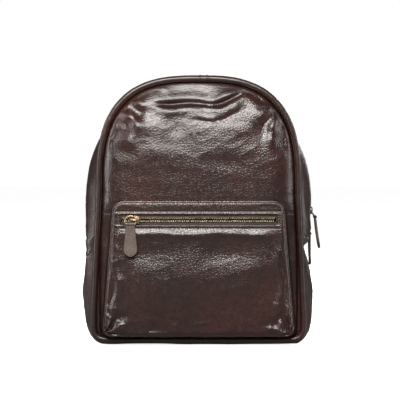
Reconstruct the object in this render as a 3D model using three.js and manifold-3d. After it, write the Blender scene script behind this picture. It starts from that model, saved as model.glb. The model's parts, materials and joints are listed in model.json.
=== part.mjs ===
// A leather backpack: an arched, piped bag with a zip that runs right round its top, a zipped front
// pocket, two padded shoulder straps and a grab handle. The front folds open about the level of the
// arch's centre.
// Units are millimetres. +Z is up, the front faces -Y and +X is on the right, seen from the front.
// The origin is on the floor, under the middle of the base.

import * as THREE from "three";
import { mergeVertices } from "three/addons/utils/BufferGeometryUtils.js";
import Module from "manifold-3d";

const wasm = await Module();
wasm.setup();

// ---- Driving dimensions ----
const ARCH_Z = 211; // centre of the arch, and the level where the front folds open
const TRACK_R = 155; // the zip's run is a circle, so that a slider can travel all the way round
const TRACK_END = THREE.MathUtils.degToRad(24); // how far the run goes on below the arch's centre
const TRACK_HALF = 20; // half the depth over which the gusset follows the run
const SEAM_Y = 50; // the front and back piping lie at this depth before and behind the middle
const PIPING_R = 4;
const LEATHER = 2.4; // lined and folded leather
const GAP = 0.5; // between neighbouring pieces
const ZIP_OPENING = 7; // half the width between the leather edges beside the main zip

const PANEL = { half: 131, top: 149.5, topPower: 2.85, bottom: 197, bottomPower: 22, flare: 0.07 };
const SEAM = { half: 136, top: 155, topPower: 2.85, bottom: 202, bottomPower: 22, flare: 0.07 };
const BASE = { half: 158, top: TRACK_R, topPower: 2, bottom: 216, bottomPower: 11, flare: 0 };
const LOW_CORNER = 0.955; // the lower corners lie at this angle below the arch's centre
const SWELL = { height: 9, dip: 0.36, width: 0.28 }; // the leather bellies out beside the ends of the zip

const POCKET = {
  halfTop: 118.6, halfBottom: 131, bottom: 15, top: 203, corner: 18, lowCorner: 16, outer: 73.2,
};
const POCKET_ZIP = { half: 105, z: 173.5, opening: 7 };
const SLIDER = { length: 13, width: 9.6, plate: 1.7 };
const CHAIN = { inner: 0.8, outer: 3.3, below: 4.4, above: 1.4 }; // one row of teeth, from the face
const TAPE_DEPTH = [LEATHER + 0.4, LEATHER + 1.3]; // under the leather's outer face
const TEETH_DEPTH = [LEATHER - 1, LEATHER + 2];
const FRONT_TEETH = [-CHAIN.outer, -CHAIN.inner];
const RING = { radius: 7.5, drop: 11, wire: 1.1 };
const PULL = { length: 44, top: 13.4, bottom: 18.4, thickness: 3.6 };
const BRIDGE_OUT = 3.8; // the ring hangs this far outside the leather's face
const SLIDER_A_REST = THREE.MathUtils.degToRad(-10.2);
const SLIDER_B_REST = THREE.MathUtils.degToRad(-18.5);
const POCKET_SLIDER_X = -86.5;
const POCKET_RING_SHIFT = { x: -5.4, z: 5.6 }; // the ring hangs by its side from the slider

const STRAP_TOP = new THREE.Vector3(75, 65, 302);
const STRAP_FOOT = new THREE.Vector3(118, 64, 52);
const STRAP_BOW = 40; // how far the strap stands off the line between its ends
const STRAP_WIDTH = { top: 46, end: 38, tail: 24 };
const STRAP_THICK = { pad: 9, tail: 3.4 };
const BUCKLE_SHARE = 0.72; // where the buckle sits along the strap
const HANDLE = { half: 40, drop: 46, radius: 5.5, y: 62.5, z: 332, lean: 0.09 };

// ---- Materials ----
const finish = (color, roughness, metalness = 0) =>
  new THREE.MeshStandardMaterial({ color, roughness, metalness });
const leather = finish(0x35211c, 0.45);
const leatherTrim = finish(0x2c1a16, 0.5);
const brass = finish(0x8a7448, 0.35, 1);
const tapeCloth = finish(0x3a2a22, 0.9);
const liningCloth = finish(0x6b5a45, 0.9);
const foam = finish(0x555555, 0.95);
const board = finish(0x8a6f4d, 0.9);

const bag = new THREE.Group();

// ---- Helpers ----
// Turns a geometry into a solid that faces outwards.
function solidOf(geometry) {
  const plain = geometry.index ? geometry.toNonIndexed() : geometry.clone();
  plain.deleteAttribute("normal");
  plain.deleteAttribute("uv");
  const merged = mergeVertices(plain, 1e-4);
  const vertProperties = merged.attributes.position.array;
  const triVerts = new Uint32Array(merged.index.array);
  const made = new wasm.Manifold(new wasm.Mesh({ numProp: 3, vertProperties, triVerts }));
  if (made.volume() > 0) return made;
  for (let i = 0; i < triVerts.length; i += 3) {
    [triVerts[i + 1], triVerts[i + 2]] = [triVerts[i + 2], triVerts[i + 1]];
  }
  return new wasm.Manifold(new wasm.Mesh({ numProp: 3, vertProperties, triVerts }));
}

function geometryOf(solid) {
  const mesh = solid.getMesh();
  const geometry = new THREE.BufferGeometry();
  geometry.setAttribute("position", new THREE.BufferAttribute(new Float32Array(mesh.vertProperties), 3));
  geometry.setIndex(new THREE.BufferAttribute(new Uint32Array(mesh.triVerts), 1));
  geometry.computeVertexNormals();
  return geometry;
}

const join = (...geometries) => geometryOf(geometries.map(solidOf).reduce((a, b) => a.add(b)));
const cut = (geometry, ...tools) =>
  geometryOf(tools.map(solidOf).reduce((a, b) => a.subtract(b), solidOf(geometry)));

function box([x0, y0, z0], [x1, y1, z1]) {
  return new THREE.BoxGeometry(x1 - x0, y1 - y0, z1 - z0)
    .translate((x0 + x1) / 2, (y0 + y1) / 2, (z0 + z1) / 2);
}

function rod(radius, length, sides, axis) {
  const geometry = new THREE.CylinderGeometry(radius, radius, length, sides); // along +Y
  if (axis === "x") geometry.rotateZ(Math.PI / 2);
  if (axis === "z") geometry.rotateX(Math.PI / 2);
  return geometry;
}

function add(name, geometry, material, parent = bag) {
  const mesh = new THREE.Mesh(geometryOf(solidOf(geometry)), material);
  mesh.name = name;
  parent.add(mesh);
  return mesh;
}

function steps(from, to, count) {
  return Array.from({ length: count + 1 }, (_, i) => from + ((to - from) * i) / count);
}

// A closed sheet: skin(u, v, depth) gives a point, with depth 0 on its outer face and 1 on its inner one.
function sheet(us, vs, skin) {
  const positions = [];
  for (const depth of [0, 1]) {
    for (const u of us) {
      for (const v of vs) positions.push(...skin(u, v, depth).toArray());
    }
  }
  const index = [];
  const id = (i, j, depth) => (depth * us.length + i) * vs.length + j;
  const quad = (a, b, c, d) => index.push(a, b, c, a, c, d);
  const lastU = us.length - 1;
  const lastV = vs.length - 1;
  for (let i = 0; i < lastU; i++) {
    for (let j = 0; j < lastV; j++) {
      quad(id(i, j, 0), id(i + 1, j, 0), id(i + 1, j + 1, 0), id(i, j + 1, 0));
      quad(id(i, j, 1), id(i, j + 1, 1), id(i + 1, j + 1, 1), id(i + 1, j, 1));
    }
    quad(id(i, 0, 0), id(i, 0, 1), id(i + 1, 0, 1), id(i + 1, 0, 0));
    quad(id(i, lastV, 0), id(i + 1, lastV, 0), id(i + 1, lastV, 1), id(i, lastV, 1));
  }
  for (let j = 0; j < lastV; j++) {
    quad(id(0, j, 0), id(0, j + 1, 0), id(0, j + 1, 1), id(0, j, 1));
    quad(id(lastU, j, 0), id(lastU, j, 1), id(lastU, j + 1, 1), id(lastU, j + 1, 0));
  }
  const geometry = new THREE.BufferGeometry();
  geometry.setAttribute("position", new THREE.Float32BufferAttribute(positions, 3));
  geometry.setIndex(index);
  return geometry;
}

// A flat plate in the XZ plane, from depth y0 to y1. Points are [x, z] pairs or vectors.
function plate(points, y0, y1, hole) {
  const shape = new THREE.Shape(points);
  if (hole) shape.holes.push(new THREE.Path(hole));
  return new THREE.ExtrudeGeometry(shape, { depth: y1 - y0, bevelEnabled: false })
    .rotateX(Math.PI / 2)
    .translate(0, y1, 0);
}

// ---- The bag's outlines ----
// A superellipse round the arch's centre, with its own height and power above and below. It flares
// towards the base.
function outline(form, angle, inset = 0) {
  const c = Math.cos(angle);
  const s = Math.sin(angle);
  const height = s > 0 ? form.top : form.bottom;
  const power = s > 0 ? form.topPower : form.bottomPower;
  const r = (Math.abs(c / form.half) ** power + Math.abs(s / height) ** power) ** (-1 / power) - inset;
  const drop = Math.max(0, (-s * r) / form.bottom);
  return new THREE.Vector2(c * r * (1 + form.flare * drop), ARCH_Z + s * r);
}

// The middle of the gusset: the zip's circle, easing out to the wider base below the zip's ends.
function track(angle, inset) {
  const dip = Math.asin(Math.max(0, -Math.sin(angle)));
  const share = THREE.MathUtils.smoothstep(dip, TRACK_END, TRACK_END + 0.32);
  const circle = new THREE.Vector2(Math.cos(angle), Math.sin(angle)).multiplyScalar(TRACK_R - inset);
  circle.y += ARCH_Z;
  return circle.lerp(outline(BASE, angle, inset), share);
}

// A point on the gusset: it leaves the piping steeply and swells out to the zip's circle in the middle.
function gusset(angle, y, inset = 0) {
  const share = THREE.MathUtils.clamp((SEAM_Y - Math.abs(y)) / (SEAM_Y - TRACK_HALF), 0, 1);
  const dip = Math.asin(-Math.sin(angle));
  const belly = Math.exp(-(((dip - SWELL.dip) / SWELL.width) ** 2));
  const swell = SWELL.height * Math.sin(share * Math.PI) * belly;
  const middle = track(angle, inset - swell);
  const point = outline(SEAM, angle, inset - swell).lerp(middle, Math.sin((share * Math.PI) / 2));
  return new THREE.Vector3(point.x, y, Math.max(point.y, inset));
}

const gussetSheet = (angles, ys, from, to) =>
  sheet(angles, ys, (angle, y, depth) => gusset(angle, y, depth ? to : from));

// Angles round the lower half of an outline, closer together at its two tight corners.
function lowerAngles(gap) {
  const middles = [Math.PI + LOW_CORNER, 2 * Math.PI - LOW_CORNER];
  const corners = middles.flatMap((middle) => steps(middle - 0.2, middle + 0.2, 8));
  const even = steps(Math.PI + gap, 2 * Math.PI - gap, 22);
  const clear = even.filter((angle) => corners.every((other) => Math.abs(other - angle) > 0.04));
  return [...clear, ...corners].sort((a, b) => a - b);
}

const RUN = [-TRACK_END, Math.PI + TRACK_END];
const FLAP_RUN = [0.004, Math.PI - 0.004]; // the arch above the fold
const EDGE_Y = SEAM_Y - PIPING_R - GAP;

// ---- Panels and piping ----
const around = (form, angles) => angles.map((angle) => outline(form, angle));

function makePanels() {
  const lower = around(PANEL, lowerAngles(0.003));
  const upper = around(PANEL, steps(0.003, Math.PI - 0.003, 24));
  add("front_panel_lower", plate(lower, -SEAM_Y, -SEAM_Y + LEATHER), leather);
  add("front_panel_upper", plate(upper, -SEAM_Y, -SEAM_Y + LEATHER), leather);
  add("back_panel", plate([...upper, ...lower], SEAM_Y, SEAM_Y + LEATHER), leather);
  const pad = { ...PANEL, half: 120, top: 138, bottom: 186 };
  const rim = around(pad, [...steps(0, Math.PI, 14), ...lowerAngles(0.1)]);
  add("back_foam", plate(rim, SEAM_Y - 7, SEAM_Y - GAP), foam);
  add("base_board", box([-100, -34, 4], [100, 34, 6.5]), board);
}

function pipingPath(y, angles) {
  return angles.map((angle) => {
    const point = outline(SEAM, angle);
    return new THREE.Vector3(point.x, y, point.y);
  });
}

function openPiping(y, angles) {
  const round = new THREE.Shape().absarc(0, 0, PIPING_R, 0, 2 * Math.PI);
  const path = new THREE.CatmullRomCurve3(pipingPath(y, angles), false, "chordal");
  return new THREE.ExtrudeGeometry(round, {
    steps: angles.length - 1, extrudePath: path, curveSegments: 3, bevelEnabled: false,
  });
}

function makePiping() {
  add("front_piping_upper", openPiping(-SEAM_Y, steps(...FLAP_RUN, 22)), leatherTrim);
  add("front_piping_lower", openPiping(-SEAM_Y, lowerAngles(0.004)), leatherTrim);
  const ring = pipingPath(SEAM_Y, [...steps(0, Math.PI, 22), ...lowerAngles(0.1)]);
  const line = new THREE.CatmullRomCurve3(ring, true, "chordal");
  add("back_piping", new THREE.TubeGeometry(line, 80, PIPING_R - GAP, 6, true), leatherTrim);
}

// ---- Gusset, main zip and lining ----
function makeGusset() {
  const deepYs = [-EDGE_Y, -38, -30, -TRACK_HALF, TRACK_HALF, 30, 38, EDGE_Y];
  const bandYs = [ZIP_OPENING, TRACK_HALF, 32, 40, EDGE_Y];
  const frontYs = bandYs.map((y) => -y).reverse();
  const underAngles = steps(Math.PI + TRACK_END + 0.006, 2 * Math.PI - TRACK_END - 0.006, 33);
  add("gusset_lower", gussetSheet(underAngles, deepYs, 0, LEATHER), leather);
  add("gusset_band_rear", gussetSheet(steps(...RUN, 30), bandYs, 0, LEATHER), leather);
  add("gusset_band_front", gussetSheet(steps(...FLAP_RUN, 24), frontYs, 0, LEATHER), leather);
  const sides = { right: [-TRACK_END, -0.004], left: [Math.PI + 0.004, Math.PI + TRACK_END] };
  for (const [side, run] of Object.entries(sides)) {
    add(`gusset_side_${side}`, gussetSheet(steps(...run, 3), frontYs, 0, LEATHER), leather);
    const tapeYs = [-16, -CHAIN.outer - 0.2];
    add(`zip_tape_end_${side}`, gussetSheet(steps(...run, 3), tapeYs, ...TAPE_DEPTH), tapeCloth);
    add(`zip_teeth_end_${side}`, gussetSheet(steps(...run, 3), FRONT_TEETH, ...TEETH_DEPTH), brass);
  }
  const patches = {
    right: [-TRACK_END - 0.17, -TRACK_END + 0.01],
    left: [Math.PI + TRACK_END - 0.01, Math.PI + TRACK_END + 0.17],
  };
  for (const [side, run] of Object.entries(patches)) {
    const ys = [-38, -30, -TRACK_HALF, TRACK_HALF, 30, 38];
    add(`zip_end_patch_${side}`, gussetSheet(steps(...run, 4), ys, -2.6, -1), leatherTrim);
  }
}

function makeMainZip() {
  const tapeInner = CHAIN.outer + 0.2;
  const rear = steps(-TRACK_END, Math.PI + TRACK_END, 30);
  const front = steps(...FLAP_RUN, 24);
  add("main_zip_tape_rear", gussetSheet(rear, [tapeInner, 16], ...TAPE_DEPTH), tapeCloth);
  add("main_zip_tape_front", gussetSheet(front, [-16, -tapeInner], ...TAPE_DEPTH), tapeCloth);
  add("main_zip_teeth_rear", gussetSheet(rear, [CHAIN.inner, CHAIN.outer], ...TEETH_DEPTH), brass);
  add("main_zip_teeth_front", gussetSheet(front, FRONT_TEETH, ...TEETH_DEPTH), brass);
}

// The room inside the bag, as a closed solid set in from the gusset, between two depths.
function roomOf(inset, front, back) {
  const angles = steps(-Math.PI / 2, 1.5 * Math.PI, 40).slice(0, -1);
  const ys = [front, -36, -TRACK_HALF, TRACK_HALF, 34, back];
  const rings = ys.map((y) => angles.map((angle) => gusset(angle, y, inset)));
  const positions = rings.flat().flatMap((p) => p.toArray());
  const index = [];
  const count = angles.length;
  const last = (ys.length - 1) * count;
  for (let i = 0; i < last; i += count) {
    for (let j = 0; j < count; j++) {
      const a = i + j;
      const b = i + ((j + 1) % count);
      index.push(a, b, b + count, a, b + count, a + count);
    }
  }
  for (let j = 1; j < count - 1; j++) index.push(0, j + 1, j, last, last + j, last + j + 1);
  const geometry = new THREE.BufferGeometry();
  geometry.setAttribute("position", new THREE.Float32BufferAttribute(positions, 3));
  return solidOf(geometry.setIndex(index));
}

// The lining is one cloth bag, cut along the fold and the zip into a part on the bag and one on the flap.
function makeLining() {
  const cloth = roomOf(8, -46.5, 41.5).subtract(roomOf(9, -45.5, 40.5));
  const flap = solidOf(box([-200, -60, ARCH_Z + GAP], [200, -GAP, 400]));
  const opening = solidOf(box([-200, -60, ARCH_Z - GAP], [200, GAP, 400]));
  add("lining_body", geometryOf(cloth.subtract(opening)), liningCloth);
  add("lining_flap", geometryOf(cloth.intersect(flap)), liningCloth);
  add("laptop_divider", box([-108, 30, 18], [108, 35, 240]), liningCloth);
  add("inner_slip_pocket", box([-70, 27, 110], [70, 29.5, 190]), liningCloth);
}

// ---- Front pocket ----
function pocketOutline(inset) {
  const { halfTop, halfBottom, bottom, top, corner, lowCorner } = POCKET;
  const r = corner - inset;
  const shape = new THREE.Shape();
  const low = bottom + lowCorner;
  shape.absarc(-halfBottom + lowCorner, low, lowCorner - inset, Math.PI, 1.5 * Math.PI, false);
  shape.absarc(halfBottom - lowCorner, low, lowCorner - inset, 1.5 * Math.PI, 2 * Math.PI, false);
  shape.absarc(halfTop - inset - r, top - inset - r, r, 0, Math.PI / 2, false);
  shape.absarc(-halfTop + inset + r, top - inset - r, r, Math.PI / 2, Math.PI, false);
  return shape.getPoints(5);
}

function makePocket() {
  const face = -POCKET.outer;
  const { half, z, opening } = POCKET_ZIP;
  const slot = [[-half, z - opening], [-half, z + opening], [half, z + opening], [half, z - opening]];
  const window = slot.map(([x, height]) => new THREE.Vector2(x, height));
  add("pocket_panel", plate(pocketOutline(0), face, face + LEATHER, window), leather);
  const wall = plate(pocketOutline(0), face + LEATHER + GAP, -SEAM_Y - GAP, pocketOutline(LEATHER));
  add("pocket_gusset", wall, leather);
  add("pocket_lining", plate(pocketOutline(4), -SEAM_Y - 2.6, -SEAM_Y - 1), liningCloth);
  const tape = [face + LEATHER + 0.3, face + LEATHER + 1.2];
  const teeth = [face + 1.2, face + 4.2];
  const inner = CHAIN.outer + 0.2;
  for (const [row, side] of [["upper", 1], ["lower", -1]]) {
    const span = (a, b) => [z + side * a, z + side * b].sort((p, q) => p - q);
    const [tapeLow, tapeHigh] = span(inner, 14);
    const [low, high] = span(CHAIN.inner, CHAIN.outer);
    const strip = box([-half - 5, tape[0], tapeLow], [half + 5, tape[1], tapeHigh]);
    add(`pocket_zip_tape_${row}`, strip, tapeCloth);
    add(`pocket_zip_teeth_${row}`, box([-half + 1, teeth[0], low], [half - 1, teeth[1], high]), brass);
  }
}

// ---- Sliders and pulls ----
// A slider in its own frame: +X points out of the leather, whose face is at x = 0, and +Z runs along
// the zip.
function sliderGeometry() {
  const { length, width, plate: thick } = SLIDER;
  const top = -LEATHER + CHAIN.above + 0.4;
  const low = -CHAIN.below - 0.9;
  const z = length / 2;
  const w = width / 2;
  return join(
    box([top, -w, -z], [top + thick, w, z]),
    box([low - thick, -w, -z], [low, w, z]),
    box([low - 0.1, -0.45, -z + 1], [top + 0.1, 0.45, z - 1]),
    box([top + thick - 0.1, -1.5, -z + 0.6], [BRIDGE_OUT + 2.8, 1.5, -z + 2.4]),
    box([top + thick - 0.1, -1.5, z - 2.4], [BRIDGE_OUT + 2.8, 1.5, z - 0.6]),
    box([BRIDGE_OUT + 1.6, -1.5, -z + 0.6], [BRIDGE_OUT + 3, 1.5, z - 0.6]),
  );
}

// A D-ring that hangs down -Z from the origin, flat in the YZ plane, with its straight bar at the bottom.
function ringGeometry() {
  const { radius, drop, wire } = RING;
  const turns = steps(-0.15, Math.PI + 0.15, 9);
  const arc = turns.map((a) => [radius * Math.cos(a), radius * (Math.sin(a) - 1)]);
  const loop = [...arc, [-radius, 1.6 - drop], [1.4 - radius, -drop], [0, -drop], [radius - 1.4, -drop]];
  loop.push([radius, 1.6 - drop]);
  const path = new THREE.CatmullRomCurve3(loop.map(([y, z]) => new THREE.Vector3(0, y, z)), true);
  return new THREE.TubeGeometry(path, 26, wire, 5, true);
}

// A leather pull that hangs down -Z from the ring's bar, which lies along Y through the origin.
function pullGeometry() {
  const { length, top, bottom, thickness } = PULL;
  const tip = bottom / 2;
  const shape = new THREE.Shape();
  shape.moveTo(top / 2 - 1.2, -1.2);
  shape.lineTo(-top / 2 + 1.2, -1.2);
  shape.lineTo(-tip, tip - length);
  shape.absarc(0, tip - length, tip, Math.PI, 2 * Math.PI, false);
  const options = { depth: thickness, bevelEnabled: false, curveSegments: 10 };
  const strip = new THREE.ExtrudeGeometry(shape, options)
    .translate(0, 0, -thickness / 2)
    .rotateX(Math.PI / 2)
    .rotateZ(Math.PI / 2);
  const fold = rod(2.6, top - 2.4, 10, "y");
  return cut(join(strip, fold), rod(1.55, top + 4, 10, "y"));
}

// The slider, its ring and its pull. frame places the slider; the ring and the pull hang in ringFrame.
function addPull(names, frame, hang, ringTilt, pullTilt) {
  const [sliderName, ringName, pullName] = names;
  add(sliderName, sliderGeometry(), brass, frame);
  const ringGroup = new THREE.Group();
  ringGroup.rotation.y = -ringTilt;
  hang.add(ringGroup);
  add(ringName, ringGeometry(), brass, ringGroup);
  const pullGroup = new THREE.Group();
  pullGroup.position.z = -RING.drop;
  pullGroup.rotation.y = ringTilt - pullTilt;
  ringGroup.add(pullGroup);
  add(pullName, pullGeometry(), leatherTrim, pullGroup);
}

function makeMainPulls() {
  const pulls = [["a", SLIDER_A_REST, 0.61, 0.14], ["b", SLIDER_B_REST, 0.42, 0.02]];
  for (const [key, angle, ringTilt, pullTilt] of pulls) {
    const frame = new THREE.Group();
    frame.position.set(TRACK_R * Math.cos(angle), 0, ARCH_Z + TRACK_R * Math.sin(angle));
    frame.rotation.y = -angle;
    const hang = new THREE.Group();
    const out = TRACK_R + BRIDGE_OUT;
    hang.position.set(out * Math.cos(angle), 0, ARCH_Z + out * Math.sin(angle));
    bag.add(frame, hang);
    const names = [`main_slider_${key}`, `main_pull_ring_${key}`, `main_pull_${key}`];
    addPull(names, frame, hang, ringTilt, pullTilt);
  }
}

function makePocketPull() {
  const frame = new THREE.Group();
  const axes = [[0, -1, 0], [0, 0, -1], [1, 0, 0]].map((v) => new THREE.Vector3(...v)); // out, across, along
  frame.setRotationFromMatrix(new THREE.Matrix4().makeBasis(...axes));
  frame.position.set(POCKET_SLIDER_X, -POCKET.outer, POCKET_ZIP.z);
  const hang = new THREE.Group();
  const { x, z } = POCKET_RING_SHIFT;
  hang.position.set(POCKET_SLIDER_X + x, -POCKET.outer - BRIDGE_OUT, POCKET_ZIP.z + z);
  hang.rotation.z = -Math.PI / 2;
  bag.add(frame, hang);
  addPull(["pocket_slider", "pocket_pull_ring", "pocket_pull"], frame, hang, 0, 0);
}

// ---- Shoulder straps and handle ----
// The strap's middle line, from its top end to its foot, bowing away from the back.
function strapLine(share) {
  const point = STRAP_TOP.clone().lerp(STRAP_FOOT, share);
  point.y += STRAP_BOW * Math.sin(Math.PI * share) ** 0.8;
  return point;
}

function strip(from, to, count, widthAt, thickness, lift = 0) {
  return sheet(steps(from, to, count), [-1, 1], (share, side, depth) => {
    const along = strapLine(share + 0.01).sub(strapLine(share - 0.01)).setX(0).normalize();
    const out = new THREE.Vector3(0, -along.z, along.y);
    return strapLine(share)
      .addScaledVector(out, lift + (0.5 - depth) * thickness)
      .add(new THREE.Vector3((side * widthAt(share)) / 2, 0, 0));
  });
}

function makeStraps() {
  const padEnd = BUCKLE_SHARE - 0.02;
  const padWidth = (share) => THREE.MathUtils.lerp(STRAP_WIDTH.top, STRAP_WIDTH.end, share / padEnd);
  const pad = strip(0.02, padEnd, 14, padWidth, STRAP_THICK.pad);
  const tail = strip(BUCKLE_SHARE, 0.99, 8, () => STRAP_WIDTH.tail, STRAP_THICK.tail);
  const keeper = cut(
    strip(BUCKLE_SHARE + 0.1, BUCKLE_SHARE + 0.13, 1, () => STRAP_WIDTH.tail + 5, STRAP_THICK.tail + 5),
    strip(BUCKLE_SHARE + 0.09, BUCKLE_SHARE + 0.14, 1, () => STRAP_WIDTH.tail + 1, STRAP_THICK.tail + 1),
  );
  const at = strapLine(BUCKLE_SHARE + 0.03);
  const slope = strapLine(BUCKLE_SHARE + 0.04).sub(strapLine(BUCKLE_SHARE + 0.02));
  const place = (geometry) => geometry.rotateX(Math.atan2(slope.y, -slope.z)).translate(at.x, at.y, at.z);
  const half = STRAP_WIDTH.tail / 2 + 4;
  const rim = box([-half, 2.2, -12], [half, 5.2, 12]);
  const buckle = place(cut(rim, box([3 - half, 1, -9], [half - 3, 6, 9])));
  const tongue = place(rod(1.2, 22, 8, "z").translate(0, 7.2, 0));
  const tab = plate(
    [[-20, 24], [20, 24], [14, 50], [-14, 50]].map(([x, z]) => new THREE.Vector2(STRAP_FOOT.x + x - 8, z)),
    SEAM_Y + PIPING_R + 3, SEAM_Y + PIPING_R + 7,
  );
  const pieces = { strap_pad: pad, strap_tail: tail, strap_keeper: keeper, strap_buckle: buckle };
  for (const [side, mirror] of [["right", 1], ["left", -1]]) {
    const group = new THREE.Group();
    group.scale.x = mirror;
    bag.add(group);
    for (const [name, geometry] of Object.entries(pieces)) {
      add(`${name}_${side}`, geometry, name === "strap_buckle" ? brass : leather, group);
    }
    add(`buckle_tongue_${side}`, tongue, brass, group);
    add(`strap_foot_${side}`, tab, leatherTrim, group);
  }
  const yoke = [[-94, 306], [94, 306], [88, 322], [66, 338], [-66, 338], [-88, 322]];
  const corners = yoke.map(([x, z]) => new THREE.Vector2(x, z));
  add("strap_yoke", plate(corners, SEAM_Y + LEATHER + GAP, SEAM_Y + LEATHER + 3.5), leatherTrim);
}

// A rolled leather handle that hangs down behind the yoke.
function makeHandle() {
  const { half, drop, radius, y, z, lean } = HANDLE;
  const points = steps(0, Math.PI, 16).map((angle) => {
    return new THREE.Vector3(half * Math.cos(angle), 0, -drop * Math.sin(angle) ** 0.8);
  });
  const round = new THREE.Shape().absarc(0, 0, radius, 0, 2 * Math.PI);
  const path = new THREE.CatmullRomCurve3(points);
  const grip = new THREE.ExtrudeGeometry(round, {
    steps: 18, extrudePath: path, curveSegments: 4, bevelEnabled: false,
  });
  const frame = new THREE.Group();
  frame.position.set(0, y, z);
  frame.rotation.x = lean;
  bag.add(frame);
  add("grab_handle", grip, leatherTrim, frame);
}

makePanels();
makePiping();
makeGusset();
makeMainZip();
makeLining();
makePocket();
makeMainPulls();
makePocketPull();
makeStraps();
makeHandle();

export default bag;
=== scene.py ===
"""The leather backpack's looks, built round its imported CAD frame. Shapes are drawn in millimetres."""

import json
import math

import bpy
import numpy as np
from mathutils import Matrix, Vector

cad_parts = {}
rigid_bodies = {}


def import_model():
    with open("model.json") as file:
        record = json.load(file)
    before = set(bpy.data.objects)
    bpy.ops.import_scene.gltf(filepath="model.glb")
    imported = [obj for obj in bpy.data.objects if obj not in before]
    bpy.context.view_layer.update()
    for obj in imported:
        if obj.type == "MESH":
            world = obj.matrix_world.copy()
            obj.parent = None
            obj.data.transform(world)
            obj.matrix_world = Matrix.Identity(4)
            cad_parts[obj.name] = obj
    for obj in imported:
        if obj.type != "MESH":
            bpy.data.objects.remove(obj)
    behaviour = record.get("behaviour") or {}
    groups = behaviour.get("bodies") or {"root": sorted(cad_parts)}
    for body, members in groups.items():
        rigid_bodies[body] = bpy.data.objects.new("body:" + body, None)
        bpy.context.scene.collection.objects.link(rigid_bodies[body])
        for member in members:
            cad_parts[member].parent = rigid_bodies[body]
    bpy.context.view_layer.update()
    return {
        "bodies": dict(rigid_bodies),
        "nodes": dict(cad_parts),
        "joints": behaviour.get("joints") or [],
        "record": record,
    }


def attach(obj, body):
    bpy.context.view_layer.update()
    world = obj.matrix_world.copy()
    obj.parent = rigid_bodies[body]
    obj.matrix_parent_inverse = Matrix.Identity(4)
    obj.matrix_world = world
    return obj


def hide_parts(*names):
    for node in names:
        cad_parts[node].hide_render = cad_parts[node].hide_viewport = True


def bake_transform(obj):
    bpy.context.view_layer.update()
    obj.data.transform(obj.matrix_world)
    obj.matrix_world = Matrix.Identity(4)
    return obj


MM = 0.001
TURN = 2 * np.pi

# ---- The bag's driving dimensions, as in the CAD ----
ARCH_Z = 211.0
TRACK_R = 155.0
TRACK_END = math.radians(24)
TRACK_HALF = 20.0
SEAM_Y = 50.0
PIPING_R = 4.4
PANEL = dict(half=133.0, top=150.5, top_power=2.85, bottom=201.5, bottom_power=22, flare=0.07)
SEAM = dict(half=136.0, top=154.3, top_power=2.85, bottom=203.5, bottom_power=22, flare=0.07)
BASE = dict(half=158.0, top=TRACK_R, top_power=2, bottom=216.0, bottom_power=11, flare=0.0)
SWELL = dict(height=9.0, dip=0.36, width=0.28)
POCKET = dict(half_top=118.6, half_bottom=134.0, bottom=12.0, top=203.0, corner=18.0, low_corner=16.0)
POCKET_BACK = -50.6
POCKET_RISE = 21.5
POCKET_FACE = -73.2
WINDOW = dict(half=105.0, z=173.5, opening=7.0, stitch=11.2)
SLIDER_A = math.radians(-10.2)
SLIDER_B = math.radians(-18.5)
RING = dict(radius=7.5, drop=11.0, wire=1.15)
PULL = dict(length=44.0, top=13.4, bottom=18.4, thickness=3.4, fold=2.05, fold_half=0.62)
BRIDGE_OUT = 3.8
POCKET_SLIDER_X = -86.5
POCKET_RING_SHIFT = (-5.4, 5.6)
STRAP_TOP = np.array([75.0, 65.0, 302.0])
STRAP_FOOT = np.array([118.0, 64.0, 52.0])
STRAP_BOW = 40.0
BUCKLE_SHARE = 0.72
BUCKLE = dict(half=14.3, reach=10.6, corner=4.0, wire=1.6, out=3.7)
HANDLE = dict(half=40.0, drop=46.0, radius=5.5, y=62.5, z=332.0, lean=0.09)

# ---- Dimensions of the leather, the zips and the thread ----
ALONG = 150  # millimetres of gusset in one radian
PANEL_LEATHER = 2.2
BACK_LEATHER = 2.0
PATCH_LEATHER = 1.6
TAPE_CLOTH = 0.8
LINING_CLOTH = 0.6
POCKET_CLOTH = 1.0
POCKET_SEAM_Z = 183.0
GUSSET_EDGE = 48.5
BAND_EDGE = 7.0
BAND_STITCH = 11.8
END_PATCH = dict(shift=0.047, half=0.066, stitch=0.05, width=47)
CHAIN = dict(pitch=2.45, row=1.9, inset=2.9)
# One tooth's sections from root to head, each as reach, half length and half height.
TOOTH = [(-1.3, 0.85, 1.1), (-0.3, 0.85, 1.3), (0.5, 0.5, 1.15), (1.1, 0.58, 1.25), (1.55, 0.3, 0.8)]
TAPE_EDGES = (2.6, 17)
QUILT_ROWS = (80, 150, 220)
QUILT_X = 62
QUILT_SPAN = dict(x=112, low=34, high=284)
YOKE = [(-94, 306), (94, 306), (88, 322), (66, 338), (-66, 338), (-88, 322)]
YOKE_DEPTHS = (52.9, 56.0)
FOOT = [(-20, 24), (20, 24), (16, 50), (-12, 50)]
FOOT_DEPTHS = (53.6, 61.0)
HANDLE_TAB = [(-8, -2), (8, -2), (7, 12), (-7, 12)]
HANDLE_TAB_DEPTHS = (55.6, 58.6)
PAD = dict(width=44, taper=6, thickness=9.4, stitch_share=0.40)
TAIL = dict(width=24.0, thickness=3.2, stitch=9.4)
CHAPE = dict(width=23.0, thickness=2.4)
KEEPER = dict(half=13.6, reach=3.1, corner=2.2)
# Each hole's share of the way down the strap.
STRAP_HOLES = (0.81, 0.84, 0.90)
HOLE_RADIUS = 1.5
# Two opposite corners of each padded slab inside.
DIVIDER = ((-108, 30, 18), (108, 35, 240))
SLIP_POCKET = ((-70, 27, 110), (70, 29.4, 190))
LINING_DROP = 10.5
SQUARE = [(-1, -1), (1, -1), (1, 1), (-1, 1)]

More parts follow.
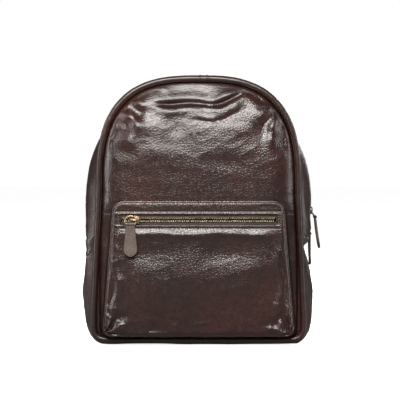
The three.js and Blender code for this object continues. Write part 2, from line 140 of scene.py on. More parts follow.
# ---- Directions and places ----
X_AXIS = np.array([1.0, 0, 0])
Y_AXIS = np.array([0, 1.0, 0])
Z_AXIS = np.array([0, 0, 1.0])
TO_FRONT = ("to", -Y_AXIS)
TO_BACK = ("to", Y_AXIS)
OUTWARDS = ("from", (0, 0, 180))
# These two folds name two bodies and two points (in metres) on the line of a fold; a piece given one is
# baked where it stands, not bent.
FLAP_FOLD = ("bag", "front_flap", (0, -0.0545, 0.2045), (0, -0.0545, 0.2175))
HANDLE_FOLD = ("bag", "grab_handle", (0, 0.0625, 0.336), (0, 0.0625, 0.326))
# The straps' folds are such points only; they are mirrored for the left strap.
PAD_FOLD = [(0.0735, 0.0585, 0.318), (0.078, 0.07, 0.284)]
TAIL_FOLD = [(0.118, 0.07, 0.078), (0.118, 0.062, 0.05)]


# ---- Small numeric helpers ----
def ease(low, high, x):
    t = np.clip((x - low) / (high - low), 0, 1)
    return t * t * (3 - 2 * t)


def ridge(x, centre, width):
    return np.exp(-(((x - centre) / width) ** 2))


def soften(value, power):
    return np.sign(value) * np.abs(value) ** power


def full_turn(count):
    return np.linspace(0, TURN, count, endpoint=False)


def grid(u, v):
    return np.meshgrid(u, v, indexing="ij")


def unit(vector):
    return vector / np.linalg.norm(vector, axis=-1, keepdims=True)


def noise(x, y, cell, seed):
    """Smooth value noise between -1 and 1, with one lattice point every cell millimetres."""
    lattice = np.random.RandomState(seed).rand(64, 64) * 2 - 1
    u, v = np.asarray(x, float) / cell + 17.3, np.asarray(y, float) / cell + 29.7
    i, j = np.floor(u).astype(int), np.floor(v).astype(int)
    s, t = u - i, v - j
    s, t = s * s * s * (s * (6 * s - 15) + 10), t * t * t * (t * (6 * t - 15) + 10)
    low = lattice[i % 64, j % 64] * (1 - s) + lattice[(i + 1) % 64, j % 64] * s
    high = lattice[i % 64, (j + 1) % 64] * (1 - s) + lattice[(i + 1) % 64, (j + 1) % 64] * s
    return low * (1 - t) + high * t


def creases(x, y, cell, seed):
    """Sharp valleys between soft swells, as in thick leather that has been bent."""
    return 1 - 2 * np.sqrt(np.abs(noise(x, y, cell, seed)))


# ---- Mesh helpers ----
def grid_faces(rows, columns, wrap_rows=False, wrap_columns=False):
    last_row, last_column = (0 if wrap else 1 for wrap in (wrap_rows, wrap_columns))
    i, j = grid(np.arange(rows - last_row), np.arange(columns - last_column))
    corners = [(i, j), (i + 1, j), (i + 1, j + 1), (i, j + 1)]
    return np.stack([(a % rows) * columns + b % columns for a, b in corners], -1).reshape(-1, 4)


def make(name, points, faces, material, facing=None):
    """A smooth mesh. facing, a direction or a point to face away from, sets the side its faces show."""
    points = np.asarray(points, float).reshape(-1, 3)
    if facing is not None:
        a, b, c = points[np.array([face[:3] for face in faces])].transpose(1, 0, 2)
        kind, value = facing
        wanted = np.array(value, float) if kind == "to" else (a + c) / 2 - np.array(value, float)
        if (np.cross(b - a, c - a) * wanted).sum() < 0:
            faces = [face[::-1] for face in faces]
    mesh = bpy.data.meshes.new(name)
    mesh.from_pydata((points * MM).tolist(), [], [list(face) for face in faces])
    mesh.polygons.foreach_set("use_smooth", [True] * len(mesh.polygons))
    mesh.materials.append(material)
    obj = bpy.data.objects.new(name, mesh)
    bpy.context.scene.collection.objects.link(obj)
    return obj


def thicken(obj, thickness):
    modifier = obj.modifiers.new("leather_thickness", "SOLIDIFY")
    modifier.thickness = thickness * MM
    modifier.offset = -1
    return obj


def sheet(name, points, material, facing, thickness, wrap=False):
    faces = grid_faces(*points.shape[:2], wrap)
    return thicken(make(name, points, faces, material, facing), thickness)


def solid(name, material, *shapes):
    """One mesh of simple closed shapes, each turned to show its outer side."""
    all_points, all_faces, count = [], [], 0
    for points, faces in shapes:
        points = np.asarray(points, float).reshape(-1, 3)
        a, b, c, d = (points[faces[:, k]] - points.mean(0) for k in range(4))
        if (a * np.cross(b, c) + a * np.cross(c, d)).sum() < 0:
            faces = faces[:, ::-1]
        all_points.append(points)
        all_faces.append(faces + count)
        count += len(points)
    return make(name, np.concatenate(all_points), np.concatenate(all_faces), material)


def settle(piece, place, slot=None, *nodes):
    """Sets a piece on a body, or, given a fold, bakes it where it stands with no body; either way it takes
    the place of the named CAD nodes.
    """
    if isinstance(place, str):
        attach(piece, place)
    else:
        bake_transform(piece)
    if nodes:
        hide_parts(*nodes)


def across_path(path, closed):
    """Two normals at each point of a path, turning as little as possible along it."""
    ahead = np.roll(path, -1, 0) if closed else np.vstack([path[1:], 2 * path[-1] - path[-2]])
    behind = np.roll(path, 1, 0) if closed else np.vstack([2 * path[0] - path[1], path[:-1]])
    tangent = unit(ahead - behind)
    side = np.cross(tangent[0], np.eye(3)[np.argmin(np.abs(tangent[0]))])
    sides = []
    for ahead in tangent:
        side = unit(side - (side @ ahead) * ahead)
        sides.append(side)
    return np.array(sides), np.cross(tangent, sides)


def loft(rings, closed=False):
    """Points and faces of a skin over rings of an even number of points, closed by points in its ends."""
    rings = np.asarray(rings, float)
    count, size = rings.shape[:2]
    faces = grid_faces(count, size, closed, True)
    points = rings.reshape(-1, 3)
    if closed:
        return points, faces
    first, last = len(points), len(points) + 1
    points = np.vstack([points, rings[0].mean(0), rings[-1].mean(0)])
    j = np.arange(0, size, 2)
    base = (count - 1) * size
    low = np.stack([0 * j + first, j, j + 1, (j + 2) % size], -1)
    high = np.stack([0 * j + last, base + (j + 2) % size, base + j + 1, base + j], -1)
    return points, np.vstack([faces, low, high])


def tube(path, radius, closed=False, sides=12, flat=1.0):
    path = np.asarray(path, float)
    a, b = across_path(path, closed)
    angle = full_turn(sides)[None, :, None]
    radius = np.broadcast_to(np.asarray(radius, float), (len(path),))[:, None, None]
    circle = np.cos(angle) * a[:, None] + flat * np.sin(angle) * b[:, None]
    return loft(path[:, None] + radius * circle, closed)


def rounded_box(size, centre, power=5, rings=12, sides=28):
    """A box with soft edges, as a superellipsoid."""
    latitude = np.linspace(-np.pi / 2 + 0.02, np.pi / 2 - 0.02, rings)[:, None]
    longitude = full_turn(sides)
    soft = 2 / power
    x = soften(np.cos(latitude), soft) * soften(np.cos(longitude), soft)
    y = soften(np.cos(latitude), soft) * soften(np.sin(longitude), soft)
    z = np.broadcast_to(soften(np.sin(latitude), soft), x.shape)
    return loft(np.stack([x, y, z], -1) * np.array(size) / 2 + np.array(centre))


def spline(points, count, closed=False):
    """A Catmull-Rom curve through the points."""
    points = np.asarray(points, float)
    total = len(points)
    spans = total if closed else total - 1
    t = np.linspace(0, spans, count, endpoint=not closed)
    i = np.minimum(np.floor(t).astype(int), spans - 1)
    f = (t - i)[:, None]
    steps = [i - 1, i, i + 1, i + 2]
    a, b, c, d = (points[k % total if closed else np.clip(k, 0, total - 1)] for k in steps)
    return 0.5 * (2 * b + (c - a) * f + (2 * a - 5 * b + 4 * c - d) * f**2 + (3 * b - a - 3 * c + d) * f**3)


def resample(path, pitch):
    """Points every pitch millimetres along a path."""
    steps = np.linalg.norm(np.diff(path, axis=0), axis=1)
    along = np.concatenate([[0], np.cumsum(steps)])
    at = np.arange(pitch / 2, along[-1], pitch)
    return np.stack([np.interp(at, along, path[:, k]) for k in range(3)], -1)


def sew(name, mat, place, normals, paths, pitch=3.5, length=2.5, radius=0.42):
    """Separate thread stitches along paths. normals is a direction out of the leather, or finds one."""
    angle = full_turn(6)[:, None]
    along = np.array([-0.5, -0.42, 0, 0.42, 0.5])[:, None, None]
    girth = np.array([0.25, 0.8, 1, 0.8, 0.25])[:, None, None] * radius
    dip = -0.35 * radius * (2 * along) ** 2
    shapes = []
    for path in paths:
        dots = resample(path, pitch)
        tangent = unit(np.gradient(dots, axis=0))
        up = normals(dots) if callable(normals) else np.broadcast_to(normals, dots.shape)
        up = unit(up - (up * tangent).sum(1)[:, None] * tangent)
        for dot, ahead, out, side in zip(dots, tangent, up, np.cross(tangent, up)):
            ring = np.cos(angle) * side + 0.8 * np.sin(angle) * out
            shapes.append(loft(dot + along * length * (ahead + 0.12 * side) + dip * out + girth * ring))
    settle(solid(name, mat["thread"], *shapes), place)


# ---- Materials ----
def feed(tree, node, **inputs):
    """Sets a node's inputs, each to a value or to a link from another node's output."""
    for key, value in inputs.items():
        socket = node.inputs[key.replace("_", " ")]
        if isinstance(value, bpy.types.NodeSocket):
            tree.links.new(value, socket)
        else:
            socket.default_value = value
    return node


def add_node(tree, kind, **inputs):
    return feed(tree, tree.nodes.new(f"ShaderNode{kind}"), **inputs)


def new_material(name):
    material = bpy.data.materials.new(name)
    material.use_nodes = True
    tree = material.node_tree
    shader = next(node for node in tree.nodes if node.type == "BSDF_PRINCIPLED")
    return material, tree, shader, add_node(tree, "TexCoord").outputs["Object"]


def cloud(tree, coords, scale, detail=2.0, roughness=0.5):
    node = add_node(tree, "TexNoise", Vector=coords, Scale=scale, Detail=detail, Roughness=roughness)
    return node.outputs["Fac"]


def ramp(tree, factor, first, last):
    """Blends from the first to the last colour, each given with its position."""
    node = add_node(tree, "ValToRGB", Fac=factor)
    for element, (position, color) in zip(node.color_ramp.elements, (first, last)):
        element.position = position
        element.color = (*color, 1)
    return node


def add_bump(tree, height, strength, distance, before=None):
    node = add_node(tree, "Bump", Height=height, Strength=strength, Distance=distance)
    if before is not None:
        feed(tree, node, Normal=before)
    return node.outputs["Normal"]


def ranged(tree, value, low, high, source_high=1):
    node = add_node(tree, "MapRange", Value=value, From_Max=source_high, To_Min=low, To_Max=high)
    return node.outputs["Result"]


def multiply(tree, a, b, amount):
    node = tree.nodes.new("ShaderNodeMix")
    node.data_type = "RGBA"
    node.blend_type = "MULTIPLY"
    node.inputs[0].default_value = amount
    tree.links.new(a, node.inputs[6])
    tree.links.new(b, node.inputs[7])
    return node.outputs[2]


def leather(name, dark, mid, warm, roughness=0.29, grain=1.0):
    """Pebbled, waxed leather whose colour drifts from dark to warm over the bag."""
    material, tree, shader, coords = new_material(name)
    drift = ramp(tree, cloud(tree, coords, 9, 4, 0.6), (0.36, dark), (0.68, warm))
    drift.color_ramp.elements.new(0.52).color = (*mid, 1)
    cells = add_node(tree, "TexVoronoi", Vector=coords, Scale=280)
    cells.feature = "DISTANCE_TO_EDGE"
    pebble = add_node(tree, "TexVoronoi", Vector=coords, Scale=700)
    crumple = cloud(tree, coords, 150, 5, 0.65)
    pores = cloud(tree, coords, 1800, 4, 0.6)
    valley = ranged(tree, cells.outputs["Distance"], 0, 1, 0.22)
    dome = ranged(tree, pebble.outputs["Distance"], 1, 0)
    # Painted shade: the colour darkens in the grain's valleys, the same valleys that the bump sinks.
    shade = ramp(tree, valley, (0.0, (0.45, 0.42, 0.4)), (0.6, (1, 1, 1))).outputs["Color"]
    # Random tone and painted light together: the colour darkens in the crumple's hollows and lightens on
    # its crests, as painted shade and painted highlight.
    crumple_tone_and_shade = ramp(tree, crumple, (0.35, (0.62, 0.6, 0.6)), (0.62, (1.15, 1.1, 1.08))).outputs["Color"]
    color = multiply(tree, multiply(tree, drift.outputs["Color"], shade, 0.75), crumple_tone_and_shade, 0.85)
    normal = None
    for height, strength, distance in (
        (crumple, 0.7, 0.00032), (valley, 0.6, 0.0002), (dome, 0.5, 0.00016), (pores, 0.2, 0.0001),
    ):
        normal = add_bump(tree, height, strength * grain, distance, normal)
    feed(tree, shader, Base_Color=color, Normal=normal, Coat_Weight=0.03, Coat_Roughness=0.2,
         Specular_IOR_Level=0.38, Roughness=ranged(tree, crumple, roughness - 0.06, roughness + 0.08))
    return material


def aged_metal(name, bright, dull, roughness=0.32):
    material, tree, shader, coords = new_material(name)
    patina = cloud(tree, coords, 260, 6, 0.65)
    color = ramp(tree, patina, (0.38, dull), (0.62, bright)).outputs["Color"]
    scratch = add_bump(tree, cloud(tree, coords, 900), 0.12, 0.0002)
    feed(tree, shader, Base_Color=color, Normal=scratch, Metallic=1,
         Roughness=ranged(tree, patina, roughness + 0.2, roughness - 0.05))
    return material


def woven(name, dark, light, threads=1400):
    material, tree, shader, coords = new_material(name)
    weave = add_node(tree, "Math")
    weave.operation = "MULTIPLY"
    for direction, socket in zip(("X", "Z"), weave.inputs):
        wave = add_node(tree, "TexWave", Vector=coords, Scale=threads / 4, Distortion=0.4)
        wave.bands_direction = direction
        tree.links.new(wave.outputs["Fac"], socket)
    color = ramp(tree, cloud(tree, coords, 40, 5), (0.35, dark), (0.65, light)).outputs["Color"]
    normal = add_bump(tree, weave.outputs[0], 0.6, 0.0003)
    feed(tree, shader, Base_Color=color, Normal=normal, Roughness=0.9)
    return material


def twisted_thread(name, dark, light):
    material, tree, shader, coords = new_material(name)
    ply = add_node(tree, "TexWave", Vector=coords, Scale=900, Distortion=1.5).outputs["Fac"]
    # Painted shade: the colour darkens in the grooves between the plies, which the bump sinks.
    color = ramp(tree, ply, (0.2, dark), (0.8, light)).outputs["Color"]
    feed(tree, shader, Base_Color=color, Normal=add_bump(tree, ply, 0.5, 0.0002), Roughness=0.7)
    return material


def make_materials():
    dark, mid, warm = (0.0100, 0.0037, 0.0025), (0.0160, 0.0056, 0.0038), (0.0230, 0.0064, 0.0043)
    tan = (0.05, 0.033, 0.026)
    return dict(
        front=leather("front_leather", dark, mid, warm),
        side=leather("side_leather", (0.0105, 0.0045, 0.0033), (0.0165, 0.0064, 0.0046), warm, 0.38, 0.8),
        trim=leather("trim_leather", (0.0100, 0.0042, 0.0031), (0.0155, 0.0060, 0.0044), warm, 0.34, 0.5),
        tab=leather("tab_leather", (0.034, 0.022, 0.017), tan, (0.062, 0.04, 0.03), 0.48, 0.6),
        strap=leather("strap_leather", dark, mid, (0.022, 0.0066, 0.0048), 0.38, 0.8),
        brass=aged_metal("aged_brass", (0.42, 0.33, 0.2), (0.10, 0.072, 0.045)),
        teeth=aged_metal("tooth_brass", (0.30, 0.25, 0.165), (0.09, 0.07, 0.047), 0.36),
        bronze=aged_metal("dark_bronze", (0.17, 0.125, 0.085), (0.045, 0.032, 0.024)),
        tape=woven("zip_tape", (0.020, 0.0125, 0.0085), (0.036, 0.023, 0.016)),
        lining=woven("cotton_lining", (0.16, 0.12, 0.08), (0.24, 0.185, 0.125), 1000),
        binding=woven("binding_tape", (0.03, 0.02, 0.014), (0.05, 0.035, 0.025)),
        board=woven("fibre_board", (0.10, 0.07, 0.045), (0.16, 0.115, 0.075), 500),
        thread=twisted_thread("seam_thread", (0.07, 0.048, 0.034), (0.15, 0.108, 0.078)),
        # Painted shadow for the strap's punched holes.
        hole=woven("hole_shadow", (0.002, 0.002, 0.002), (0.006, 0.005, 0.004)),
    )


# ---- The bag's surfaces ----
def outline(form, angle, inset=0.0):
    """Points (x, z) of a rim round the arch's centre: a soft arch above and a squarer foot below."""
    c, s = np.cos(angle), np.sin(angle)
    height = np.where(s > 0, form["top"], form["bottom"])
    power = np.where(s > 0, form["top_power"], form["bottom_power"])
    r = (np.abs(c / form["half"]) ** power + np.abs(s / height) ** power) ** (-1 / power) - inset
    drop = np.maximum(0, -s * r / form["bottom"])
    return np.stack([c * r * (1 + form["flare"] * drop), ARCH_Z + s * r], -1)


def at_depth(flat, y):
    """Points (x, z) set at a depth y."""
    return np.stack([flat[..., 0], np.broadcast_to(y, flat.shape[:-1]), flat[..., 1]], -1)


def dip_of(angle):
    """How far an angle lies below the arch's centre, on either side."""
    return np.arcsin(np.clip(-np.sin(angle), -1, 1))


def track(angle, inset):
    """The middle of the gusset: a circle along the zip, going over into the base."""
    share = ease(TRACK_END, TRACK_END + 0.32, np.maximum(dip_of(angle), 0))[..., None]
    r = TRACK_R - inset
    circle = np.stack([r * np.cos(angle), ARCH_Z + r * np.sin(angle)], -1)
    return circle + (outline(BASE, angle, inset) - circle) * share


def gusset(angle, y, lift=0.0):
    angle, y = np.broadcast_arrays(np.asarray(angle, float), np.asarray(y, float))
    share = np.clip((SEAM_Y - np.abs(y)) / (SEAM_Y - TRACK_HALF), 0, 1)
    rise = SWELL["height"] * np.sin(share * np.pi)
    inset = -lift - rise * ridge(dip_of(angle), SWELL["dip"], SWELL["width"])
    seam = outline(SEAM, angle, inset)
    flat = seam + (track(angle, inset) - seam) * np.sin(share * np.pi / 2)[..., None]
    floor = np.maximum(0, -np.broadcast_to(lift, y.shape))
    return np.stack([flat[..., 0], y, np.maximum(flat[..., 1], floor)], -1)


def gusset_relief(angle, y):
    """Folds, swells and the pinch beside the end of the zip, in millimetres out from the smooth gusset."""
    along = angle * ALONG
    dip = dip_of(angle)
    left = np.cos(angle) < 0
    depth = np.abs(y)
    inner = ease(50, 38, depth)
    swell = 0.8 * noise(along, y, 46, 11) + 0.5 * noise(along, y, 19, 12)
    below = ease(0.5, 0.72, dip) * ease(0.98, 0.84, dip)
    wander = 9 * noise(along, y, 60, 13)
    folds = 2.2 * np.sin((y + wander) / 6.6) + 1.6 * creases(along * 0.4, y + wander, 15, 14)
    fill = np.where(left, 14.0, 5.0) * ridge(dip, 0.55, 0.15) * ease(4, 26, depth)
    notch = np.where(left, 2.6, 6.5)
    pinch = -notch * ridge(dip, 0.50 + 0.025 * noise(along, y, 30, 15), 0.04) * ease(6, 26, depth)
    crumple = 1.3 * creases(along, y * 1.4, 21, 16) * ease(0.15, 0.4, dip) * ease(14, 26, depth)
    upright = 1.2 * creases(along * 0.25, y, 13, 17) * ease(-0.2, 0.15, dip) * ease(20, 30, depth)
    beside_zip = ease(TRACK_END + 0.02, TRACK_END - 0.02, dip)
    lip = (0.55 * ridge(depth, 8.3, 1.5) - 0.5 * ridge(depth, BAND_STITCH, 0.8)) * beside_zip
    calm = ease(9, 20, depth) * (1 - below) + below
    under = ease(1.0, 0.86, dip)
    return inner * (under * (swell * calm + crumple) + below * folds + fill + pinch + upright) + lip


def gusset_skin(angle, y, extra=0.0):
    return gusset(angle, y, gusset_relief(angle, y) + extra)


def panel_edge_distance(x, z):
    """Distance in from the front panel's rim, measured along the line to the arch's centre."""
    rim = outline(PANEL, np.arctan2(z - ARCH_Z, x))
    return np.maximum(np.hypot(rim[..., 0], rim[..., 1] - ARCH_Z) - np.hypot(x, z - ARCH_Z), 0)


def top_wrinkles(x, z):
    """The long bends under the top of the arch, and a faint pair below them."""
    line = 330 + 0.0042 * np.maximum(x - 5, 0) ** 2 + 2.5 * noise(x, 0 * x, 34, 26)
    run = ease(-70, -34, x) * ease(68, 40, x) * (1 + 0.5 * noise(x, 0 * x, 19, 28))
    swing = 2.5 * noise(x, 0 * x, 23, 29)
    bend = ridge(z, line + 8 + swing, 6) - 3.2 * ridge(z, line, 3.4) + 1.7 * ridge(z, line - 9 - swing, 7)
    pair = ridge(z, line - 17 + swing, 4) - 1.1 * ridge(z, line - 23, 3)
    faint = ease(-18, 10, x) * ease(66, 48, x) * pair
    return run * bend + 0.8 * faint


def shoulder_rays(x, z, edge):
    """Creases that fan out from both shoulders of the arch."""
    rays = 0.0
    for side, (cx, cz), count, seed in ((1, (126, 330), 8, 21), (-1, (-122, 326), 7, 22)):
        dx, dz = x - cx, z - cz
        rho, phi = np.hypot(dx, dz), np.arctan2(dz, dx * side)
        wave = np.sin(count * phi + 2.4 * noise(x, z, 30, seed)) + 0.7 * noise(x, z, 13, seed + 6)
        rays = rays + 1.9 * wave * ridge(rho, 40, 27) * ease(3, 12, edge)
    return rays


def front_relief(x, z):
    """How far the front panel stands out of its plane."""
    edge = panel_edge_distance(x, z)
    upper = ease(206, 262, z)
    rim = -4.0 * np.exp(-edge / 2.6)
    lean = 1 - np.clip((z - 250) / 108, 0, 1) ** 2
    puff = (14.5 * lean + 2.5) * (1 - np.exp(-edge / 13)) * ease(150, 205, z)
    wrinkles = upper * (top_wrinkles(x, z) + shoulder_rays(x, z, edge))
    sides = 1.0 * creases(x * 0.5, z, 24, 23) * np.exp(-edge / 22) * ease(3, 9, edge)
    drift = upper * (1.2 * noise(x, z, 56, 24) + 0.5 * noise(x, z * 1.5, 23, 25)) * ease(2, 16, edge)
    scratch = 0.25 * creases(x + z, (z - x * 0.55) * 2.2, 34, 27) * upper * ease(4, 20, edge)
    fold = ease(POCKET_SEAM_Z - 0.5, POCKET_SEAM_Z + 1.5, z) * ease(203, 196, z)
    seam = 0.7 * fold - 0.9 * ridge(z, POCKET_SEAM_Z, 0.9)
    return rim + puff + wrinkles + sides + drift + scratch + seam * ease(2, 7, edge)


def front_skin(x, z, extra=0.0):
    return np.stack([x, -(SEAM_Y + front_relief(x, z) + extra), z], -1)


def pocket_half(z):
    share = (z - POCKET["bottom"]) / (POCKET["top"] - POCKET["bottom"])
    return POCKET["half_bottom"] + (POCKET["half_top"] - POCKET["half_bottom"]) * share


def corner_cut(distance, radius):
    """How far a rounded corner takes the rim in, at a distance from the end of the rim."""
    short = np.clip(radius - distance, 0, radius)
    return radius - np.sqrt(np.maximum(radius**2 - short**2, 0))


def pocket_rim(z):
    top = corner_cut(POCKET["top"] - z, POCKET["corner"])
    return pocket_half(z) - top - corner_cut(z - POCKET["bottom"], POCKET["low_corner"])


def pocket_depth_in(x, z):
    """Distance in from the pocket's rim, with its corners rounded."""
    side = pocket_half(z) - np.abs(x)
    ends = []
    upper = (POCKET["top"] - z, POCKET["corner"])
    lower = (z - POCKET["bottom"], POCKET["low_corner"])
    for end, radius in (upper, lower):
        corner = radius - np.hypot(np.maximum(radius - side, 0), np.maximum(radius - end, 0))
        ends.append(np.where((side < radius) & (end < radius), corner, np.minimum(side, end)))
    return np.maximum(np.minimum(*ends), 0)


def corner_pleats(x, z):
    """The crumpled leather in the pocket's lower corners, with an upright fold above each."""
    pleats = 0.0
    for side, seed in ((1, 34), (-1, 35)):
        dx, dz = x - side * 127, z - 20
        rho, phi = np.hypot(dx, dz), np.arctan2(dz, -dx * side)
        fan = np.sin(6.5 * phi + 2.6 * noise(x, z, 15, seed))
        pleats = pleats + (2.4 * fan + 1.2 * creases(x, z, 12, seed + 10)) * ridge(rho, 14, 19)
        stripe = x * side - 110 - 5 * noise(x, z, 36, seed + 4)
        pleats = pleats + (1.9 * ridge(stripe, 0, 5) - 1.6 * ridge(stripe, 8, 4)) * ridge(z, 76, 46)
    return pleats


def pocket_relief(x, z):
    """Swells and creases of the pocket's face."""
    depth = pocket_depth_in(x, z)
    from_zip = np.abs(z - WINDOW["z"])
    full = 6.0 * ridge(z, 86, 56) * (1 - (x / 140) ** 2)
    near = ease(3, 12, depth)
    zone = np.exp(-((from_zip / 16) ** 4)) * ease(118, 108, np.abs(x))
    drift = (1.2 * noise(x, z, 58, 31) + 0.45 * noise(x, z, 24, 32)) * near * (1 - zone)
    sag = np.sin((z + 5 * noise(x, z, 70, 33)) / 11.5) * ridge(z, 132, 24) * ease(120, 60, np.abs(x))
    under = 1.8 * ridge(z, 154 + 1.5 * noise(x, z, 40, 37), 5) * ease(112, 84, np.abs(x + 4))
    hem = 1.1 * ridge(depth, 2.4, 1.6) - 0.8 * ridge(depth, 5.6, 0.8)
    flank = 1.2 * creases(x * 1.4, z, 20, 36) * ridge(depth, 12, 12) * ease(160, 110, z)
    lips = zone * 0.8 * (ridge(from_zip, 8.6, 1.3) - ridge(from_zip, WINDOW["stitch"], 0.7))
    scratch = 0.18 * creases(x + z, (z - x * 0.3) * 2, 36, 38) * (1 - zone)
    face = (full + drift + sag + under + flank + scratch) * near
    return face + corner_pleats(x, z) * ease(1, 7, depth) + hem + lips


def pocket_skin(x, z, extra=0.0):
    depth = pocket_depth_in(x, z)
    shoulder = (1 - (1 - np.minimum(depth, 9) / 9) ** 2.4) ** (1 / 2.4)
    y = POCKET_BACK - POCKET_RISE * shoulder - pocket_relief(x, z) * ease(0, 4, depth) - extra
    return np.stack([x, y, z], -1)


def back_skin(x, z, extra=0.0):
    edge = panel_edge_distance(x, z)
    rim = -2.0 * np.exp(-edge / 3.5)
    pad = ease(16, 26, edge) * ease(300, 288, z)
    columns = 1 - ridge(np.abs(x), 0, 9) - 0.8 * ridge(np.abs(x), QUILT_X, 2.2)
    rows = 1 - sum(0.85 * ridge(z, line, 2.2) for line in QUILT_ROWS)
    drift = 0.4 * noise(x, z, 34, 71) * ease(3, 14, edge)
    y = SEAM_Y + 2.2 + rim + 2.6 * pad * np.clip(columns, 0, 1) * np.clip(rows, 0, 1) + drift + extra
    return np.stack([x, y, z], -1)


def gusset_normal(points):
    return unit(points * [1, 0, 1] - [0, 0, ARCH_Z])


# ---- Pieces on the bag ----
def disc(name, skin, material, facing, thickness, rings=96, spokes=420):
    """A panel on spokes from the arch's centre, closer together near its rim."""
    share = 1 - (1 - np.linspace(0, 1, rings)) ** 1.5
    rim = outline(PANEL, full_turn(spokes))
    points = skin(share[:, None] * rim[None, :, 0], ARCH_Z + share[:, None] * (rim[None, :, 1] - ARCH_Z))
    first = np.arange(spokes)
    fan = np.stack([0 * first, 1 + first, 1 + (first + 1) % spokes], -1)
    faces = fan.tolist() + (grid_faces(rings - 1, spokes, False, True) + 1).tolist()
    points = np.vstack([points[0, :1], points[1:].reshape(-1, 3)])
    return thicken(make(name, points, faces, material, facing), thickness)


def make_front(mat):
    panel = disc("front_panel", front_skin, mat["front"], TO_FRONT, PANEL_LEATHER)
    settle(panel, FLAP_FOLD, "front_leather", "front_panel_upper", "front_panel_lower")
    seams = []
    for side in (1, -1):
        x = np.linspace(120.5, 131, 12) * side
        seams.append(front_skin(x, np.full_like(x, POCKET_SEAM_Z - 2.8), 0.1))
    sew("front_seam_stitches", mat, "bag", -Y_AXIS, seams)


def make_piping(mat):
    angle = full_turn(720)
    along = angle * ALONG
    wave = 0.22 * noise(along, 0 * along, 17, 41) + 0.16 * noise(along, 0 * along, 6, 42)
    for name, side, radius, place, nodes in (
        ("front_piping", -1, PIPING_R, FLAP_FOLD, ("front_piping_upper", "front_piping_lower")),
        ("back_piping", 1, PIPING_R - 0.5, "bag", ("back_piping",)),
    ):
        path = at_depth(outline(SEAM, angle), side * SEAM_Y)
        settle(solid(name, mat["trim"], tube(path, radius + wave, True, 18)), place, "trim_leather", *nodes)
        line = at_depth(outline(SEAM, angle, 3.4), side * (SEAM_Y + 2.6))
        sew(f"{name}_stitches", mat, place, -Y_AXIS, [line], 4.0, 2.2, 0.35)
    wraps = []
    for start in (1.545, 1.485):
        path = at_depth(outline(SEAM, np.linspace(start, start + 0.02, 10)), -SEAM_Y)
        wraps.append(tube(path, PIPING_R + 0.8 - 0.7 * np.abs(np.linspace(-1, 1, 10)) ** 3, False, 18))
    settle(solid("piping_join", mat["trim"], *wraps), "front_flap", "trim_leather")


def make_gusset(mat):
    run = np.linspace(-TRACK_END - 0.015, np.pi + TRACK_END + 0.015, 460)
    line = np.linspace(-TRACK_END, np.pi + TRACK_END, 500)
    front_nodes = ("gusset_band_front", "gusset_side_right", "gusset_side_left")
    for name, low, high, place, nodes in (
        ("gusset_front", -GUSSET_EDGE, -BAND_EDGE, FLAP_FOLD, front_nodes),
        ("gusset_rear", BAND_EDGE, GUSSET_EDGE, "bag", ("gusset_band_rear",)),
    ):
        skin = gusset_skin(*grid(run, np.linspace(low, high, 46)))
        settle(sheet(name, skin, mat["side"], OUTWARDS, PANEL_LEATHER), place, "side_leather", *nodes)
        seam = gusset_skin(line, np.full(500, math.copysign(BAND_STITCH, low)), 0.1)
        sew(f"{name}_stitches", mat, place, gusset_normal, [seam])
    run = np.linspace(np.pi + TRACK_END + 0.01, TURN - TRACK_END - 0.01, 420)
    skin = gusset_skin(*grid(run, np.linspace(-GUSSET_EDGE, GUSSET_EDGE, 120)))
    lower = sheet("gusset_lower_leather", skin, mat["side"], OUTWARDS, PANEL_LEATHER)
    settle(lower, "bag", "side_leather", "gusset_lower")


def make_end_patches(mat):
    width, half = END_PATCH["width"], END_PATCH["half"]
    end = TRACK_END + END_PATCH["shift"]
    for side, middle in (("right", -end), ("left", np.pi + end)):
        angle, y = grid(np.linspace(middle - half, middle + half, 34), np.linspace(-width, width, 90))
        plateau = 1 - (np.abs(angle - middle) / half) ** 8
        lift = 1.7 * plateau * ease(width + 0.5, width - 3, np.abs(y)) - 0.3
        skin = gusset_skin(angle, y, lift)
        piece = sheet(f"zip_end_patch_{side}_leather", skin, mat["trim"], OUTWARDS, PATCH_LEATHER)
        settle(piece, "bag", "trim_leather", f"zip_end_patch_{side}")
        y = np.linspace(3 - width, width - 3, 60)
        shifts = (-END_PATCH["stitch"], END_PATCH["stitch"])
        lines = [gusset_skin(np.full(60, middle + shift), y, 1.55) for shift in shifts]
        sew(f"zip_end_stitches_{side}", mat, "bag", gusset_normal, lines)


def tooth(centre, along, across, out):
    """One zip tooth: a waisted block whose head reaches against across, towards the other row."""
    sections = []
    for reach, half_length, half_height in TOOTH:
        middle = centre - across * reach
        sections.append([middle + along * half_length * a + out * half_height * b for a, b in SQUARE])
    return loft(sections)


def main_teeth(side):
    """The teeth of one row round the arch; the rows are half a pitch apart."""
    pitch = CHAIN["pitch"] / TRACK_R
    start = -TRACK_END + 0.005 + (0.0 if side > 0 else pitch / 2)
    teeth = []
    for angle in np.arange(start, np.pi + TRACK_END - 0.005, pitch):
        out = np.array([math.cos(angle), 0, math.sin(angle)])
        along = np.array([-math.sin(angle), 0, math.cos(angle)])
        centre = out * (TRACK_R - CHAIN["inset"]) + [0, side * CHAIN["row"], ARCH_Z]
        teeth.append(tooth(centre, along, Y_AXIS * side, out))
    return teeth


def make_main_zip(mat):
    run = np.linspace(-TRACK_END - 0.02, np.pi + TRACK_END + 0.02, 380)
    for row, side, place in (("rear", 1, "bag"), ("front", -1, FLAP_FOLD)):
        ends = ("end_right", "end_left") if side < 0 else ()
        teeth = solid(f"main_zip_{row}_teeth", mat["teeth"], *main_teeth(side))
        settle(teeth, place, "zip_metal", f"main_zip_teeth_{row}", *(f"zip_teeth_{end}" for end in ends))
        low, high = sorted(side * edge for edge in TAPE_EDGES)
        skin = gusset(*grid(run, np.linspace(low, high, 10)), -CHAIN["inset"])
        tape = sheet(f"main_zip_{row}_tape", skin, mat["tape"], OUTWARDS, TAPE_CLOTH)
        settle(tape, place, "zip_tape", f"main_zip_tape_{row}", *(f"zip_tape_{end}" for end in ends))


